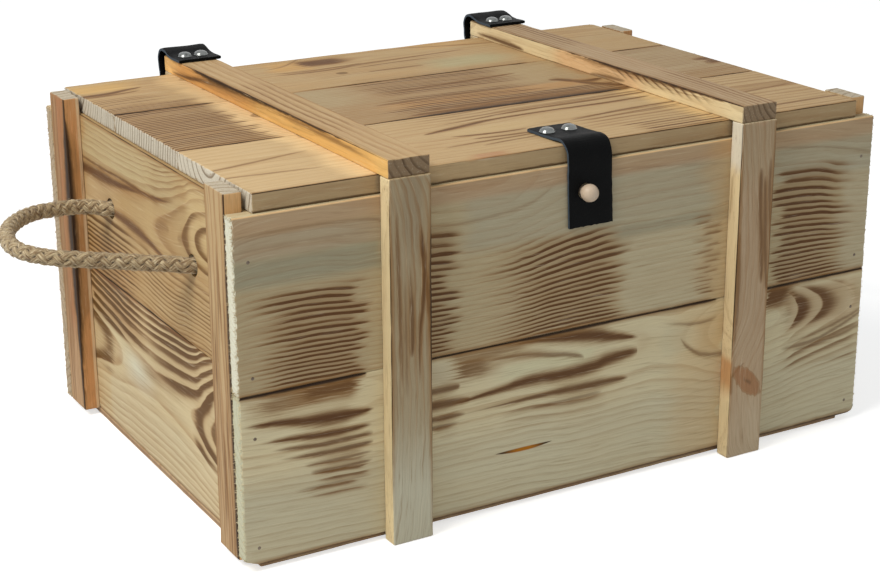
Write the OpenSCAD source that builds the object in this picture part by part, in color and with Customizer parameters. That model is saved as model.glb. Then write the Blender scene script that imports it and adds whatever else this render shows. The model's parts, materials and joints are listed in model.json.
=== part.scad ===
// Lidded pine bottle crate: nailed boards and battens, rope handles, leather hinges and a leather
// closure strap that buttons over a wooden peg. Millimetres, +Z up, the front faces -Y and the
// origin is the middle of the base's underside, which stands on the ground with the batten ends.

/* [Walls] */
// Outside length, over the corner battens
box_l = 500; // [320:1:800]
// Outside depth, over the front and back boards
box_w = 337; // [280:1:390]
// Width of a wall board; each wall is two boards high
board_w = 114.5; // [80:0.5:160]
// Thickness of the front and back boards
wall_t = 11; // [8:0.5:18]
// Thickness of the end boards
end_t = 11; // [8:0.5:18]
// Chamfer along the arrises of every board and batten
arris = 0.7; // [0.2:0.1:1.5]

/* [Base] */
// Thickness of the base panel
base_t = 5; // [3:0.5:12]
// Inset of the base panel from the front and back faces
base_inset = 5; // [0:0.5:5]

/* [Battens] */
// Width of a batten
batten_w = 29.5; // [24:0.5:40]
// Thickness of a batten
batten_t = 12; // [11:0.5:18]
// Distance of the front, back and lid battens from the middle of the box
batten_x = 136; // [80:1:150]
// Step from a front batten's face back to the end of the lid batten on it
lid_batten_step = 1.2; // [0:0.1:4]

/* [Lid] */
// Thickness of the lid boards
lid_t = 12.5; // [12.5:0.5:20]
// Width of the front and middle lid boards; the back board takes what is left
lid_board_w = 114.5; // [90:0.5:125]
// Set-back of the lid's front edge from the front face
lid_front_inset = 3; // [1:0.5:6]
// Clearance between the lid's ends and the corner battens
lid_end_gap = 2.7; // [1:0.1:6]
// Clearance between the lid's back edge and the back battens
lid_back_gap = 0.5; // [0.3:0.1:2]

/* [Leather] */
// Thickness of the leather
leather_t = 2.2; // [1.5:0.1:3]
// Width of the hinge straps
hinge_w = 34; // [24:0.5:44]
// Length of a hinge strap on top of its lid batten
hinge_top_l = 38; // [34:0.5:60]
// Drop of a hinge strap below the top of its lid batten
hinge_drop = 50; // [45:0.5:80]
// Width of the closure strap
closure_w = 34; // [28:0.5:50]
// Length of the closure strap on top of the lid
closure_top_l = 45; // [30:0.5:80]
// Drop of the closure strap below the lid's top
closure_drop = 56; // [50:0.5:80]
// Inside radius of the closure strap's bend
closure_bend_r = 3.2; // [2:0.1:6]
// Play between leather and the wood that it lies on
leather_gap = 0.3; // [0.1:0.05:0.5]

/* [Peg] */
// Diameter of the peg's ball
peg_ball_d = 12; // [11.5:0.5:18]
// Diameter of the peg's shank
peg_shank_d = 8; // [5:0.5:9]
// Drop of the peg's axis below the lid's top
peg_drop = 31.5; // [28:0.5:44]
// Diameter of the hole in the closure strap
peg_hole_d = 11; // [9.5:0.5:14]
// Radial clearance of the peg's shank in the front board
peg_slack = 0.05; // [0.02:0.01:0.2]

/* [Rope] */
// Diameter of the rope
rope_d = 11; // [8:0.5:13]
// Diameter of the rope holes
rope_hole_d = 15; // [14:0.5:17]
// Distance between the two rope holes of an end
rope_hole_gap = 150; // [100:1:180]
// Diameter of the knots inside
knot_d = 26; // [24:0.5:34]
// Length of a rope tail below its knot's middle
rope_tail_l = 30; // [20:1:50]

/* [Nails] */
// Diameter of a wire nail
nail_d = 1.6; // [1.2:0.1:2.4]
// Diameter of a wire nail's head
nail_head_d = 2.4; // [2.2:0.1:4.5]
// Thickness of a wire nail's head, which lies flush
nail_head_t = 0.6; // [0.4:0.1:1]
// Length of the corner and base nails
long_nail_l = 30; // [24:0.5:38]
// Length that a batten nail stands short of its batten's face
nail_short = 3; // [2:0.5:5]
// Diameter of a dome-headed nail
dome_d = 11; // [8:0.5:13]
// Height of a dome head
dome_h = 3.2; // [1.5:0.1:4]
// Diameter of a dome-headed nail's shank
dome_shank_d = 2; // [1.4:0.1:3]
// Length of a dome-headed nail's shank, leather included
dome_shank_l = 12; // [8:0.5:12]
// Distance between the two dome heads on a hinge strap
dome_gap = 13; // [12:0.5:20]
// Distance between the two dome heads on the closure strap
closure_dome_gap = 17.5; // [12:0.5:21]
// Distance of the dome heads from a strap's end
dome_inset = 14; // [8:0.5:16]
// Clearance all round a nail in its hole
nail_slack = 0.05; // [0.02:0.01:0.1]

/* [Hidden] */
$fn = 48;

// Heights
wall_top = base_t + 2 * board_w;
lid_top = wall_top + lid_t;
lid_batten_top = lid_top + batten_t;
// Faces, as distances from the middle
end_face = box_l / 2 - batten_t;
end_inner = end_face - end_t;
wall_face = box_w / 2;
wall_inner = wall_face - wall_t;
batten_face = wall_face + batten_t;
// The lid
lid_end = end_face - lid_end_gap;
lid_front = -wall_face + lid_front_inset;
lid_back = wall_face - lid_back_gap;
lid_joints = [lid_front, lid_front + lid_board_w, lid_front + 2 * lid_board_w, lid_back];
// The closure strap
closure_inner_y = -wall_face - leather_gap;
closure_outer_y = closure_inner_y - leather_t;
closure_inner_z = lid_top + leather_gap;
closure_axis_y = closure_inner_y + closure_bend_r;
closure_axis_z = closure_inner_z - closure_bend_r;
closure_end_y = lid_front + closure_top_l - lid_front_inset;
// The peg
peg_z = lid_top - peg_drop;
peg_seat = 1;
peg_ball_y = closure_outer_y - peg_ball_d / 2 + peg_seat;
// The hinge straps
hinge_inner_y = batten_face + leather_gap;
hinge_outer_y = hinge_inner_y + leather_t;
hinge_inner_z = lid_batten_top + leather_gap;
hinge_bend_r = 0.9;
hinge_front_y = hinge_outer_y - hinge_top_l;
hinge_foot_z = lid_batten_top - hinge_drop;
// The rope holes are in the middle of the upper end boards
rope_hole_z = base_t + 1.5 * board_w;
knot_seat = 0.7 * knot_d / 2;

// The rope's centreline outside the left end: out from the end face, along it, and up
rope_route = [[0, 75, 0], [12, 81, 1.5], [26, 82, 3], [40, 78, 4.5], [54, 71, 6.5], [68, 58, 8.5],
    [81, 41, 10], [92, 19, 11.5], [98, -4, 12], [98, -22, 12], [92, -36, 11.5], [80, -46, 10],
    [64, -52, 8], [46, -57, 5.5], [28, -63, 3], [13, -69, 1.5], [0, -75, 0]];
rope_sides = 10;

// Where nails go along a board's width, as shares of it
corner_nail_rows = [0.1, 0.75];
end_nail_rows = [0.3, 0.6];
batten_nail_rows = [0.25, 0.75];
// Places of the nails: the middle of the head, and the way that the point goes
nail_inset = 0.8 * batten_t;
corner_nail_places = [for (sx = [-1, 1], sy = [-1, 1], row = [0, 1], share = corner_nail_rows)
    [[sx * (box_l / 2 - nail_inset), sy * wall_face, base_t + (row + share) * board_w],
        [0, -sy, 0]]];
end_nail_places = [for (sx = [-1, 1], sy = [-1, 1], row = [0, 1], share = end_nail_rows)
    [[sx * end_inner, sy * (wall_inner - batten_w / 2), base_t + (row + share) * board_w],
        [sx, 0, 0]]];
nail_stagger = 0.2 * batten_w;
wall_batten_nail_places = [for (sx = [-1, 1], sy = [-1, 1], row = [0, 1], i = [0, 1])
    [[sx * (batten_x + (i - 0.5) * 2 * nail_stagger), sy * wall_inner,
        base_t + (row + batten_nail_rows[i]) * board_w], [0, sy, 0]]];
lid_nail_places = [for (sx = [-1, 1], board = [0, 1, 2], i = [0, 1])
    let (y0 = lid_joints[board], y1 = lid_joints[board + 1])
    [[sx * (batten_x + (i - 0.5) * 2 * nail_stagger), y0 + batten_nail_rows[i] * (y1 - y0),
        wall_top], [0, 0, 1]]];
base_nail_x = [-0.4, -0.14, 0.14, 0.4];
base_nail_y = [-0.2, 0.2];
base_nail_places = concat(
    [for (share = base_nail_x, sy = [-1, 1])
        [[share * box_l, sy * (wall_face + wall_inner - base_inset) / 2, 0], [0, 0, 1]]],
    [for (share = base_nail_y, sx = [-1, 1])
        [[sx * (end_face + end_inner) / 2, share * box_w, 0], [0, 0, 1]]]);
dome_top = leather_gap + leather_t;
hinge_lid_places = [for (sx = [-1, 1], i = [-1, 1])
    [[sx * batten_x + i * dome_gap / 2, hinge_front_y + dome_inset, lid_batten_top + dome_top],
        [0, 0, -1]]];
hinge_back_places = [for (sx = [-1, 1], i = [-1, 1])
    [[sx * batten_x + i * dome_gap / 2, hinge_outer_y, hinge_foot_z + dome_inset], [0, -1, 0]]];
closure_nail_places = [for (i = [-1, 1])
    [[i * closure_dome_gap / 2, closure_end_y - dome_inset, lid_top + dome_top], [0, 0, -1]]];

module outline(a, b) {
    polygon([[arris, 0], [a - arris, 0], [a, arris], [a, b - arris], [a - arris, b], [arris, b],
        [0, b - arris], [0, arris]]);
}

// A sawn stick between two corners, with chamfered arrises along the grain
module stick(low, high, grain) {
    size = high - low;
    translate(low) {
        if (grain == "x") rotate([90, 0, 90]) linear_extrude(size[0]) outline(size[1], size[2]);
        if (grain == "y") translate([0, size[1], 0]) rotate([90, 0, 0])
            linear_extrude(size[1]) outline(size[0], size[2]);
        if (grain == "z") linear_extrude(size[2]) outline(size[0], size[1]);
    }
}

// Turns what stands on +Z to point along a direction
module along(direction) {
    rotate([0, acos(direction[2]), atan2(direction[1], direction[0])]) children();
}

module nail(length, slack) {
    translate([0, 0, -slack]) cylinder(h = nail_head_t + 2 * slack, d = nail_head_d + 2 * slack);
    cylinder(h = length + slack, d = nail_d + 2 * slack);
}

module nails(places, length, slack = 0) {
    for (place = places) translate(place[0]) along(place[1]) nail(length, slack);
}

module dome_nail() {
    cap_r = (dome_d * dome_d / 4 + dome_h * dome_h) / (2 * dome_h);
    intersection() {
        translate([0, 0, cap_r - dome_h]) sphere(r = cap_r);
        translate([0, 0, -dome_h]) cylinder(h = dome_h, d = dome_d);
    }
    cylinder(h = dome_shank_l, d = dome_shank_d);
}

module dome_nails(places) {
    color("silver") for (place = places) translate(place[0]) along(place[1]) dome_nail();
}

module dome_holes(places) {
    for (place = places) translate(place[0]) along(place[1]) translate([0, 0, -nail_slack])
        cylinder(h = dome_shank_l + 2 * nail_slack, d = dome_shank_d + 2 * nail_slack);
}

module corner_nail_holes() {
    nails(corner_nail_places, long_nail_l, nail_slack);
}

module end_nail_holes() {
    nails(end_nail_places, end_t + batten_t - nail_short, nail_slack);
}

module wall_batten_nail_holes() {
    nails(wall_batten_nail_places, wall_t + batten_t - nail_short, nail_slack);
}

module base_nail_holes() {
    nails(base_nail_places, long_nail_l, nail_slack);
}

module lid_nail_holes() {
    nails(lid_nail_places, lid_t + batten_t - nail_short, nail_slack);
}

// A board of the front (-1) or back (1) wall; row 0 is the lower one
module long_board(side, row) {
    y0 = side > 0 ? wall_inner : -wall_face;
    z0 = base_t + row * board_w;
    color("burlywood") difference() {
        stick([-box_l / 2, y0, z0], [box_l / 2, y0 + wall_t, z0 + board_w], "x");
        corner_nail_holes();
        wall_batten_nail_holes();
        if (row == 0) base_nail_holes();
        if (side < 0 && row == 1) peg_bore();
    }
}

// A board of the left (-1) or right (1) end, between the front and back boards
module end_board(side, row) {
    x0 = side > 0 ? end_inner : -end_face;
    z0 = base_t + row * board_w;
    color("tan") difference() {
        stick([x0, -wall_inner, z0], [x0 + end_t, wall_inner, z0 + board_w], "y");
        end_nail_holes();
        if (row == 0) base_nail_holes();
        if (row == 1) rope_bores(side);
    }
}

module rope_bores(side) {
    for (sy = [-1, 1]) translate([side * (end_inner - 1), sy * rope_hole_gap / 2, rope_hole_z])
        rotate([0, side * 90, 0]) cylinder(h = end_t + 2, d = rope_hole_d);
}

module corner_batten(side_x, side_y) {
    x0 = side_x > 0 ? end_face : -box_l / 2;
    y0 = side_y > 0 ? wall_inner - batten_w : -wall_inner;
    color("burlywood") difference() {
        stick([x0, y0, base_t], [x0 + batten_t, y0 + batten_w, lid_top], "z");
        corner_nail_holes();
        end_nail_holes();
    }
}

module wall_batten(side_x, side_y) {
    x0 = side_x * batten_x - batten_w / 2;
    y0 = side_y > 0 ? wall_face : -batten_face;
    color("tan") difference() {
        stick([x0, y0, 0], [x0 + batten_w, y0 + batten_t, lid_top], "z");
        wall_batten_nail_holes();
        if (side_y > 0) dome_holes(hinge_back_places);
    }
}

module base_panel() {
    y = wall_face - base_inset;
    color("sienna") difference() {
        translate([-end_face, -y, 0]) cube([2 * end_face, 2 * y, base_t]);
        base_nail_holes();
    }
}

module peg_bore() {
    translate([0, -wall_inner + 1, peg_z]) rotate([90, 0, 0])
        cylinder(h = wall_t + 2, d = peg_shank_d + 2 * peg_slack);
}

module closure_peg() {
    shank_l = -wall_inner - peg_ball_y;
    color("wheat") translate([0, -wall_inner, peg_z]) rotate([90, 0, 0]) union() {
        cylinder(h = shank_l, d = peg_shank_d);
        translate([0, 0, shank_l]) sphere(d = peg_ball_d);
    }
}

module lid_board(board) {
    low = [-lid_end, lid_joints[board], wall_top];
    high = [lid_end, lid_joints[board + 1], lid_top];
    color("wheat") difference() {
        stick(low, high, "x");
        lid_nail_holes();
        if (board == 0) dome_holes(closure_nail_places);
    }
}

module lid_batten(side_x) {
    x0 = side_x * batten_x - batten_w / 2;
    color("burlywood") difference() {
        stick([x0, -batten_face + lid_batten_step, lid_top],
            [x0 + batten_w, batten_face, lid_batten_top], "y");
        lid_nail_holes();
        dome_holes(hinge_lid_places);
    }
}

// A leather strip bent over an edge, as an outline: a flat top that ends at the bend, a quarter
// turn about the outline's origin, and a drop
module strap_outline(top_l, bend_r, drop) {
    outer_r = bend_r + leather_t;
    if (top_l > 0) translate([0, bend_r]) square([top_l, leather_t]);
    if (drop > 0) {
        intersection() {
            difference() {
                circle(r = outer_r);
                circle(r = bend_r);
            }
            translate([-outer_r, 0]) square(outer_r);
        }
        translate([-outer_r, -drop]) square([leather_t, drop]);
    }
}

module hinge_strap(side_x) {
    axis_y = hinge_inner_y - hinge_bend_r;
    axis_z = hinge_inner_z - hinge_bend_r;
    color([0.06, 0.06, 0.07]) difference() {
        translate([side_x * batten_x + hinge_w / 2, axis_y, axis_z]) rotate([90, 0, -90])
            linear_extrude(hinge_w)
                strap_outline(axis_y - hinge_front_y, hinge_bend_r, axis_z - hinge_foot_z);
        dome_holes(hinge_lid_places);
        dome_holes(hinge_back_places);
    }
}

module closure_strip(top_l, drop) {
    translate([-closure_w / 2, closure_axis_y, closure_axis_z]) rotate([90, 0, 90])
        linear_extrude(closure_w) strap_outline(top_l, closure_bend_r, drop);
}

module closure_strap_root() {
    color([0.06, 0.06, 0.07]) difference() {
        closure_strip(closure_end_y - closure_axis_y, 0);
        dome_holes(closure_nail_places);
    }
}

module closure_strap_tongue() {
    color([0.06, 0.06, 0.07]) difference() {
        closure_strip(0, closure_drop - (lid_top - closure_axis_z));
        translate([0, closure_inner_y + 1, peg_z]) rotate([90, 0, 0])
            cylinder(h = leather_t + 2, d = peg_hole_d);
    }
}

// The rope inside an end: through each hole to a knot that bears on the boards, and its tail
module rope_knots(side) {
    color("peru") for (sy = [-1, 1])
        translate([side * end_face, sy * rope_hole_gap / 2, rope_hole_z]) rotate([0, -side * 90, 0]) {
            cylinder(h = end_t + knot_seat, d = rope_d);
            intersection() {
                translate([0, 0, end_t + knot_seat]) sphere(d = knot_d);
                translate([0, 0, end_t]) cylinder(h = knot_d, d = knot_d);
            }
            translate([0, 0, end_t + knot_seat]) rotate([0, -side * 90, 0])
                cylinder(h = rope_tail_l, d = rope_d);
        }
}

function unit(v) = v / norm(v);

// The way that the rope runs at a point of its route; it leaves and meets the end face squarely
function rope_tangent(i) =
    i == 0 ? [1, 0, 0]
    : i == len(rope_route) - 1 ? [-1, 0, 0]
    : unit(rope_route[i + 1] - rope_route[i - 1]);

function rope_ring(i) =
    let (across = unit(cross([0, 0, 1], rope_tangent(i))), over = cross(rope_tangent(i), across))
    [for (k = [0 : rope_sides - 1])
        let (turn = 360 * k / rope_sides)
        rope_route[i] + rope_d / 2 * (cos(turn) * across + sin(turn) * over)];

module rope_loop() {
    last = len(rope_route) - 1;
    points = [for (i = [0 : last]) each rope_ring(i)];
    walls = [for (i = [0 : last - 1], k = [0 : rope_sides - 1])
        let (a = i * rope_sides, next = (k + 1) % rope_sides)
        [a + k, a + rope_sides + k, a + rope_sides + next, a + next]];
    caps = [[for (k = [0 : rope_sides - 1]) k],
        [for (k = [rope_sides - 1 : -1 : 0]) last * rope_sides + k]];
    polyhedron(points, concat(walls, caps), convexity = 4);
}

module rope_handle(side) {
    color("peru") mirror([side < 0 ? 1 : 0, 0, 0]) translate([end_face, 0, rope_hole_z])
        rope_loop();
}

long_board(-1, 1);  // front_board_upper
long_board(-1, 0);  // front_board_lower
long_board(1, 1);  // back_board_upper
long_board(1, 0);  // back_board_lower
end_board(-1, 1);  // left_end_board_upper
end_board(-1, 0);  // left_end_board_lower
end_board(1, 1);  // right_end_board_upper
end_board(1, 0);  // right_end_board_lower
corner_batten(-1, -1);  // corner_batten_front_left
corner_batten(1, -1);  // corner_batten_front_right
corner_batten(-1, 1);  // corner_batten_back_left
corner_batten(1, 1);  // corner_batten_back_right
wall_batten(-1, -1);  // front_batten_left
wall_batten(1, -1);  // front_batten_right
wall_batten(-1, 1);  // back_batten_left
wall_batten(1, 1);  // back_batten_right
base_panel();
closure_peg();
color("dimgray") nails(corner_nail_places, long_nail_l);  // corner_nails
color("dimgray") nails(end_nail_places, end_t + batten_t - nail_short);  // end_nails
color("dimgray") nails(wall_batten_nail_places, wall_t + batten_t - nail_short);  // wall_batten_nails
color("dimgray") nails(base_nail_places, long_nail_l);  // base_nails
dome_nails(hinge_back_places);  // hinge_nails_back
rope_knots(-1);  // left_rope_knots
rope_knots(1);  // right_rope_knots
rope_handle(-1);  // left_rope_handle
rope_handle(1);  // right_rope_handle
lid_board(0);  // lid_board_front
lid_board(1);  // lid_board_middle
lid_board(2);  // lid_board_back
lid_batten(-1);  // lid_batten_left
lid_batten(1);  // lid_batten_right
color("dimgray") nails(lid_nail_places, lid_t + batten_t - nail_short);  // lid_nails
dome_nails(hinge_lid_places);  // hinge_nails_lid
hinge_strap(-1);  // left_hinge_strap
hinge_strap(1);  // right_hinge_strap
closure_strap_root();
closure_strap_tongue();
dome_nails(closure_nail_places);  // closure_nails
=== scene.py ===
import json
import math
import random

import bpy
from mathutils import Matrix, Vector, noise


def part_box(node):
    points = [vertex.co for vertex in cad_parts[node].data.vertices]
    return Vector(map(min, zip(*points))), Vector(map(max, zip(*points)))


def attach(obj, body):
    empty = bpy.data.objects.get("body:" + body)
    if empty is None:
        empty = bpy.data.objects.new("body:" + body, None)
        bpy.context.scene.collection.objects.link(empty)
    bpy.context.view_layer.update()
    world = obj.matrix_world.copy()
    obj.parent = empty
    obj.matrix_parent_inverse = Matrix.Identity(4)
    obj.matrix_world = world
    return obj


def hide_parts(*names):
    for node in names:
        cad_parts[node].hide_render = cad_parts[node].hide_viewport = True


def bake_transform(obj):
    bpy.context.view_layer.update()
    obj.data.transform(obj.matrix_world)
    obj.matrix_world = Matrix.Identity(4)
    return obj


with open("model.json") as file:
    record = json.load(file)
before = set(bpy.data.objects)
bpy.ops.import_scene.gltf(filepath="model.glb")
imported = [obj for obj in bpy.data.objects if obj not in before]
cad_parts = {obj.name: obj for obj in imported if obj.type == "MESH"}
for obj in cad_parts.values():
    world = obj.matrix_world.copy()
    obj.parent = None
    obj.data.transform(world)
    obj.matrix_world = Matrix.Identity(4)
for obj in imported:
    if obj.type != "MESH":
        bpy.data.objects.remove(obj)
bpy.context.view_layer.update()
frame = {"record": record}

MM = 0.001
AXIS = {"x": 0, "y": 1, "z": 2}
BOTH = (-1, 1)
THIRDS = (0.0, 2.094, 4.189)


def edge(node, side, axis):
    """Where a node's box ends along an axis, in millimetres: side 0 is its low end and 1 its high end."""
    return round(float(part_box(node)[side][AXIS[axis]]) / MM, 3)


def metres(place):
    return [c * MM for c in place]


# Faces of the box, in millimetres, in the part's own frame
END_FACE = edge("right_end_board_upper", 1, "x")
END_INNER = edge("right_end_board_upper", 0, "x")
WALL_END = edge("front_board_upper", 1, "x")
WALL_FACE = edge("back_board_upper", 1, "y")
WALL_INNER = edge("back_board_upper", 0, "y")
WALL_TOP = edge("front_board_upper", 1, "z")
WALL_BOTTOM = edge("front_board_lower", 0, "z")
BATTEN_FACE = edge("back_batten_right", 1, "y")
LID_TOP = edge("lid_board_front", 1, "z")
LID_BATTEN_TOP = edge("lid_batten_right", 1, "z")
BATTEN_X = (edge("front_batten_right", 0, "x") + edge("front_batten_right", 1, "x")) / 2


# ---------------------------------------------------------------- camera
# The view of the photograph: azimuth, elevation and roll in degrees, the place in metres
CAMERA_AZIMUTH = -29.79
CAMERA_ELEVATION = 18.97
CAMERA_ROLL = -0.28
CAMERA_PLACE = (-0.6620, -1.1352, 0.5489)
SENSOR_MM = 36.0
LENS_MM = 75.73


def link(thing):
    bpy.context.scene.collection.objects.link(thing)
    return thing


def make_camera():
    azimuth = math.radians(CAMERA_AZIMUTH)
    elevation = math.radians(CAMERA_ELEVATION)
    roll = math.radians(CAMERA_ROLL)
    back = Vector((math.sin(azimuth) * math.cos(elevation),
                   -math.cos(azimuth) * math.cos(elevation),
                   math.sin(elevation)))
    right = Vector((math.cos(azimuth), math.sin(azimuth), 0))
    up = back.cross(right)
    axes = (math.cos(roll) * right + math.sin(roll) * up,
            -math.sin(roll) * right + math.cos(roll) * up,
            back)
    data = bpy.data.cameras.new("camera")
    data.sensor_fit = "HORIZONTAL"
    data.sensor_width = SENSOR_MM
    data.lens = LENS_MM
    data.clip_start = 0.01
    data.clip_end = 50
    camera = link(bpy.data.objects.new("camera", data))
    camera.matrix_world = Matrix.Translation(CAMERA_PLACE) @ Matrix(axes).transposed().to_4x4()
    bpy.context.scene.camera = camera


make_camera()


# ---------------------------------------------------------------- formulas in node trees
class Field:
    """A number in a node tree, so that a formula is written as one."""

    def __init__(self, tree, socket):
        self.tree = tree
        self.socket = socket

    def __add__(self, other):
        return calc(self.tree, "ADD", self, other)

    def __sub__(self, other):
        return calc(self.tree, "SUBTRACT", self, other)

    def __rsub__(self, other):
        return calc(self.tree, "SUBTRACT", other, self)

    def __mul__(self, other):
        return calc(self.tree, "MULTIPLY", self, other)

    def __truediv__(self, other):
        return calc(self.tree, "DIVIDE", self, other)

    __radd__ = __add__


def tree_of(*values):
    return next(value.tree for value in values if isinstance(value, Field))


def put(tree, value, socket):
    if isinstance(value, Field):
        tree.links.new(value.socket, socket)
    else:
        socket.default_value = value


def new_node(tree, kind, inputs=(), **settings):
    """A shader node; inputs maps the names or numbers of its sockets to values."""
    node = tree.nodes.new("ShaderNode" + kind)
    for title, value in settings.items():
        setattr(node, title, value)
    for title, value in dict(inputs).items():
        put(tree, value, node.inputs[title])
    return node


def calc(tree, operation, *values):
    return Field(tree, new_node(tree, "Math", enumerate(values), operation=operation).outputs[0])


def step(x, low, high):
    """0 before low, 1 after high, smooth between; high may be the lower one."""
    tree = tree_of(x, low, high)
    node = new_node(tree, "MapRange", {"Value": x, "From Min": low, "From Max": high},
                    interpolation_type="SMOOTHSTEP")
    return Field(tree, node.outputs["Result"])


def window(x, low, high, soft_low, soft_high):
    rise = step(x, low - soft_low / 2, low + soft_low / 2)
    fall = step(x, high + soft_high / 2, high - soft_high / 2)
    return rise * fall


def larger(a, b):
    return calc(a.tree, "MAXIMUM", a, b)


def absolute(x):
    return calc(x.tree, "ABSOLUTE", x)


def floor_of(x):
    return calc(x.tree, "FLOOR", x)


def length(a, b):
    return calc(a.tree, "SQRT", a * a + b * b)


def clamp(x):
    return Field(x.tree, new_node(x.tree, "Clamp", {"Value": x}).outputs[0])


def vector(x, y, z):
    tree = tree_of(x, y, z)
    return Field(tree, new_node(tree, "CombineXYZ", enumerate((x, y, z))).outputs[0])


def grain_noise(place, detail=2.0, roughness=0.5):
    """Noise from 0 to 1 with its middle at 0.5; place is already divided by the size of its spots."""
    node = new_node(place.tree, "TexNoise",
                    {"Vector": place, "Scale": 1.0, "Detail": detail, "Roughness": roughness})
    return Field(place.tree, node.outputs[0])


def speckle(place, sizes, detail=2.0, roughness=0.5):
    """Noise whose spots have the given sizes, in millimetres, along each part of the place."""
    return grain_noise(vector(*[c / size for c, size in zip(place, sizes)]), detail, roughness)


def dice(x, seed):
    """A random number from 0 to 1 for each whole x."""
    node = new_node(x.tree, "TexWhiteNoise", noise_dimensions="1D")
    put(x.tree, x + seed, node.inputs["W"])
    return Field(x.tree, node.outputs["Value"])


def drawn(share, points):
    """A smooth line through given (x, y) points, as a 0 to 1 height, its lowest y and its span.

    share runs from 0 at the first x to 1 at the last."""
    xs, ys = zip(*points)
    low, high = min(ys), max(ys)
    if high - low < 1e-6:
        return 0.0, low, 0.0
    node = new_node(share.tree, "FloatCurve", {"Value": share})
    line = node.mapping.curves[0]
    places = [((x - xs[0]) / (xs[-1] - xs[0]), (y - low) / (high - low)) for x, y in points]
    line.points[0].location = places[0]
    line.points[-1].location = places[-1]
    for place in places[1:-1]:
        line.points.new(*place)
    node.mapping.update()
    return Field(share.tree, node.outputs["Value"]), low, high - low


def curve(x, points):
    """A smooth line through given (x, y) points."""
    first, last = points[0][0], points[-1][0]
    height, low, span = drawn((x - first) / (last - first), points)
    if span == 0.0:
        level = new_node(x.tree, "Value").outputs[0]
        level.default_value = low
        return Field(x.tree, level)
    return height * span + low


def srgb(r, g, b):
    """A colour from its screen values, 0 to 255."""
    return tuple(((c / 255 + 0.055) / 1.055) ** 2.4 if c > 10 else c / 255 / 12.92
                 for c in (r, g, b)) + (1.0,)


def blend_colours(amount, first, second):
    """first where amount is 0, second where it is 1."""
    node = new_node(amount.tree, "Mix", {"Factor": amount, "A": first, "B": second}, data_type="RGBA")
    return Field(amount.tree, next(s for s in node.outputs if s.type == "RGBA"))


def new_group(name, inputs, gives_colour=False):
    """A formula that many pieces share: its node group, its inputs as fields and its way out."""
    group = bpy.data.node_groups.new(name, "ShaderNodeTree")
    for title in inputs:
        kind = "NodeSocketColor" if title == "wood" else "NodeSocketFloat"
        group.interface.new_socket(title, in_out="INPUT", socket_type=kind)
    kind = "NodeSocketColor" if gives_colour else "NodeSocketFloat"
    group.interface.new_socket("result", in_out="OUTPUT", socket_type=kind)
    enter = group.nodes.new("NodeGroupInput")
    leave = group.nodes.new("NodeGroupOutput")
    return group, [Field(group, enter.outputs[title]) for title in inputs], leave.inputs["result"]


def apply(group, *values):
    tree = tree_of(*values)
    return Field(tree, new_node(tree, "Group", enumerate(values), node_tree=group).outputs[0])


def clear_tree(owner, output_kind):
    """The empty node tree of a material or world, and its way out."""
    owner.use_nodes = True
    tree = owner.node_tree
    tree.nodes.clear()
    return tree, new_node(tree, output_kind).inputs["Surface"]


def new_material(name):
    material = bpy.data.materials.new(name)
    tree, way_out = clear_tree(material, "OutputMaterial")
    shader = new_node(tree, "BsdfPrincipled")
    tree.links.new(shader.outputs[0], way_out)
    return material, tree, shader


def coordinates(tree, kind):
    """x, y and z of the point ("Object") or of the surface's direction ("Normal") in the part's frame."""
    place = new_node(tree, "TexCoord")
    split = new_node(tree, "SeparateXYZ", {0: Field(tree, place.outputs[kind])})
    return {axis: Field(tree, split.outputs[i]) for axis, i in AXIS.items()}


def object_place(tree):
    """x, y and z of the point in the part's frame, in millimetres."""
    return {axis: field * 1000.0 for axis, field in coordinates(tree, "Object").items()}


def dress(tree, shader, colour, roughness, height, distance, strength, **fixed):
    """Sets the shader's colour, roughness and bumps, and the sockets named in fixed."""
    put(tree, colour, shader.inputs["Base Color"])
    put(tree, roughness, shader.inputs["Roughness"])
    for title, value in fixed.items():
        shader.inputs[title.replace("_", " ")].default_value = value
    node = new_node(tree, "Bump", {"Distance": distance, "Strength": strength, "Height": height})
    tree.links.new(node.outputs[0], shader.inputs["Normal"])


# ---------------------------------------------------------------- pine
CREAM = srgb(213, 199, 165)
HONEY = srgb(208, 180, 138)
AMBER = srgb(214, 165, 98)
LATE = srgb(170, 128, 86)
TOAST = srgb(150, 116, 78)
WARM_BROWN = srgb(146, 106, 60)
BROWN = srgb(92, 60, 34)
BLACKENED = srgb(40, 25, 15)
END_PALE = srgb(205, 192, 168)
END_DARK = srgb(150, 124, 98)
BLUE_STAIN = srgb(160, 168, 158)
# PINK is the wood's pink tone; at the top of the front wall it also stands for painted shade
PINK = srgb(186, 150, 118)
RED_LATE = srgb(176, 118, 82)
GREY_TAN = srgb(176, 158, 128)
CHIP = srgb(246, 240, 222)
RESIN = srgb(176, 108, 8)
RESIN_TIP = srgb(44, 28, 14)
GRAIN_DARK = srgb(138, 106, 70)
GRAIN_PALE = srgb(232, 220, 192)
FIBRE_DARK = srgb(120, 94, 62)

END_SLACK = 12.0


def patch_group():
    """1 inside a patch of a face and 0 outside it, with a soft edge on each side."""
    group, fields, way_out = new_group("patch", ["u", "v", "u0", "u1", "s0", "s1",
                                                 "v0", "v1", "t0", "t1", "strength"])
    u, v, u0, u1, s0, s1, v0, v1, t0, t1, strength = fields
    put(group, window(u, u0, u1, s0, s1) * window(v, v0, v1, t0, t1) * strength, way_out)
    return group


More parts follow.
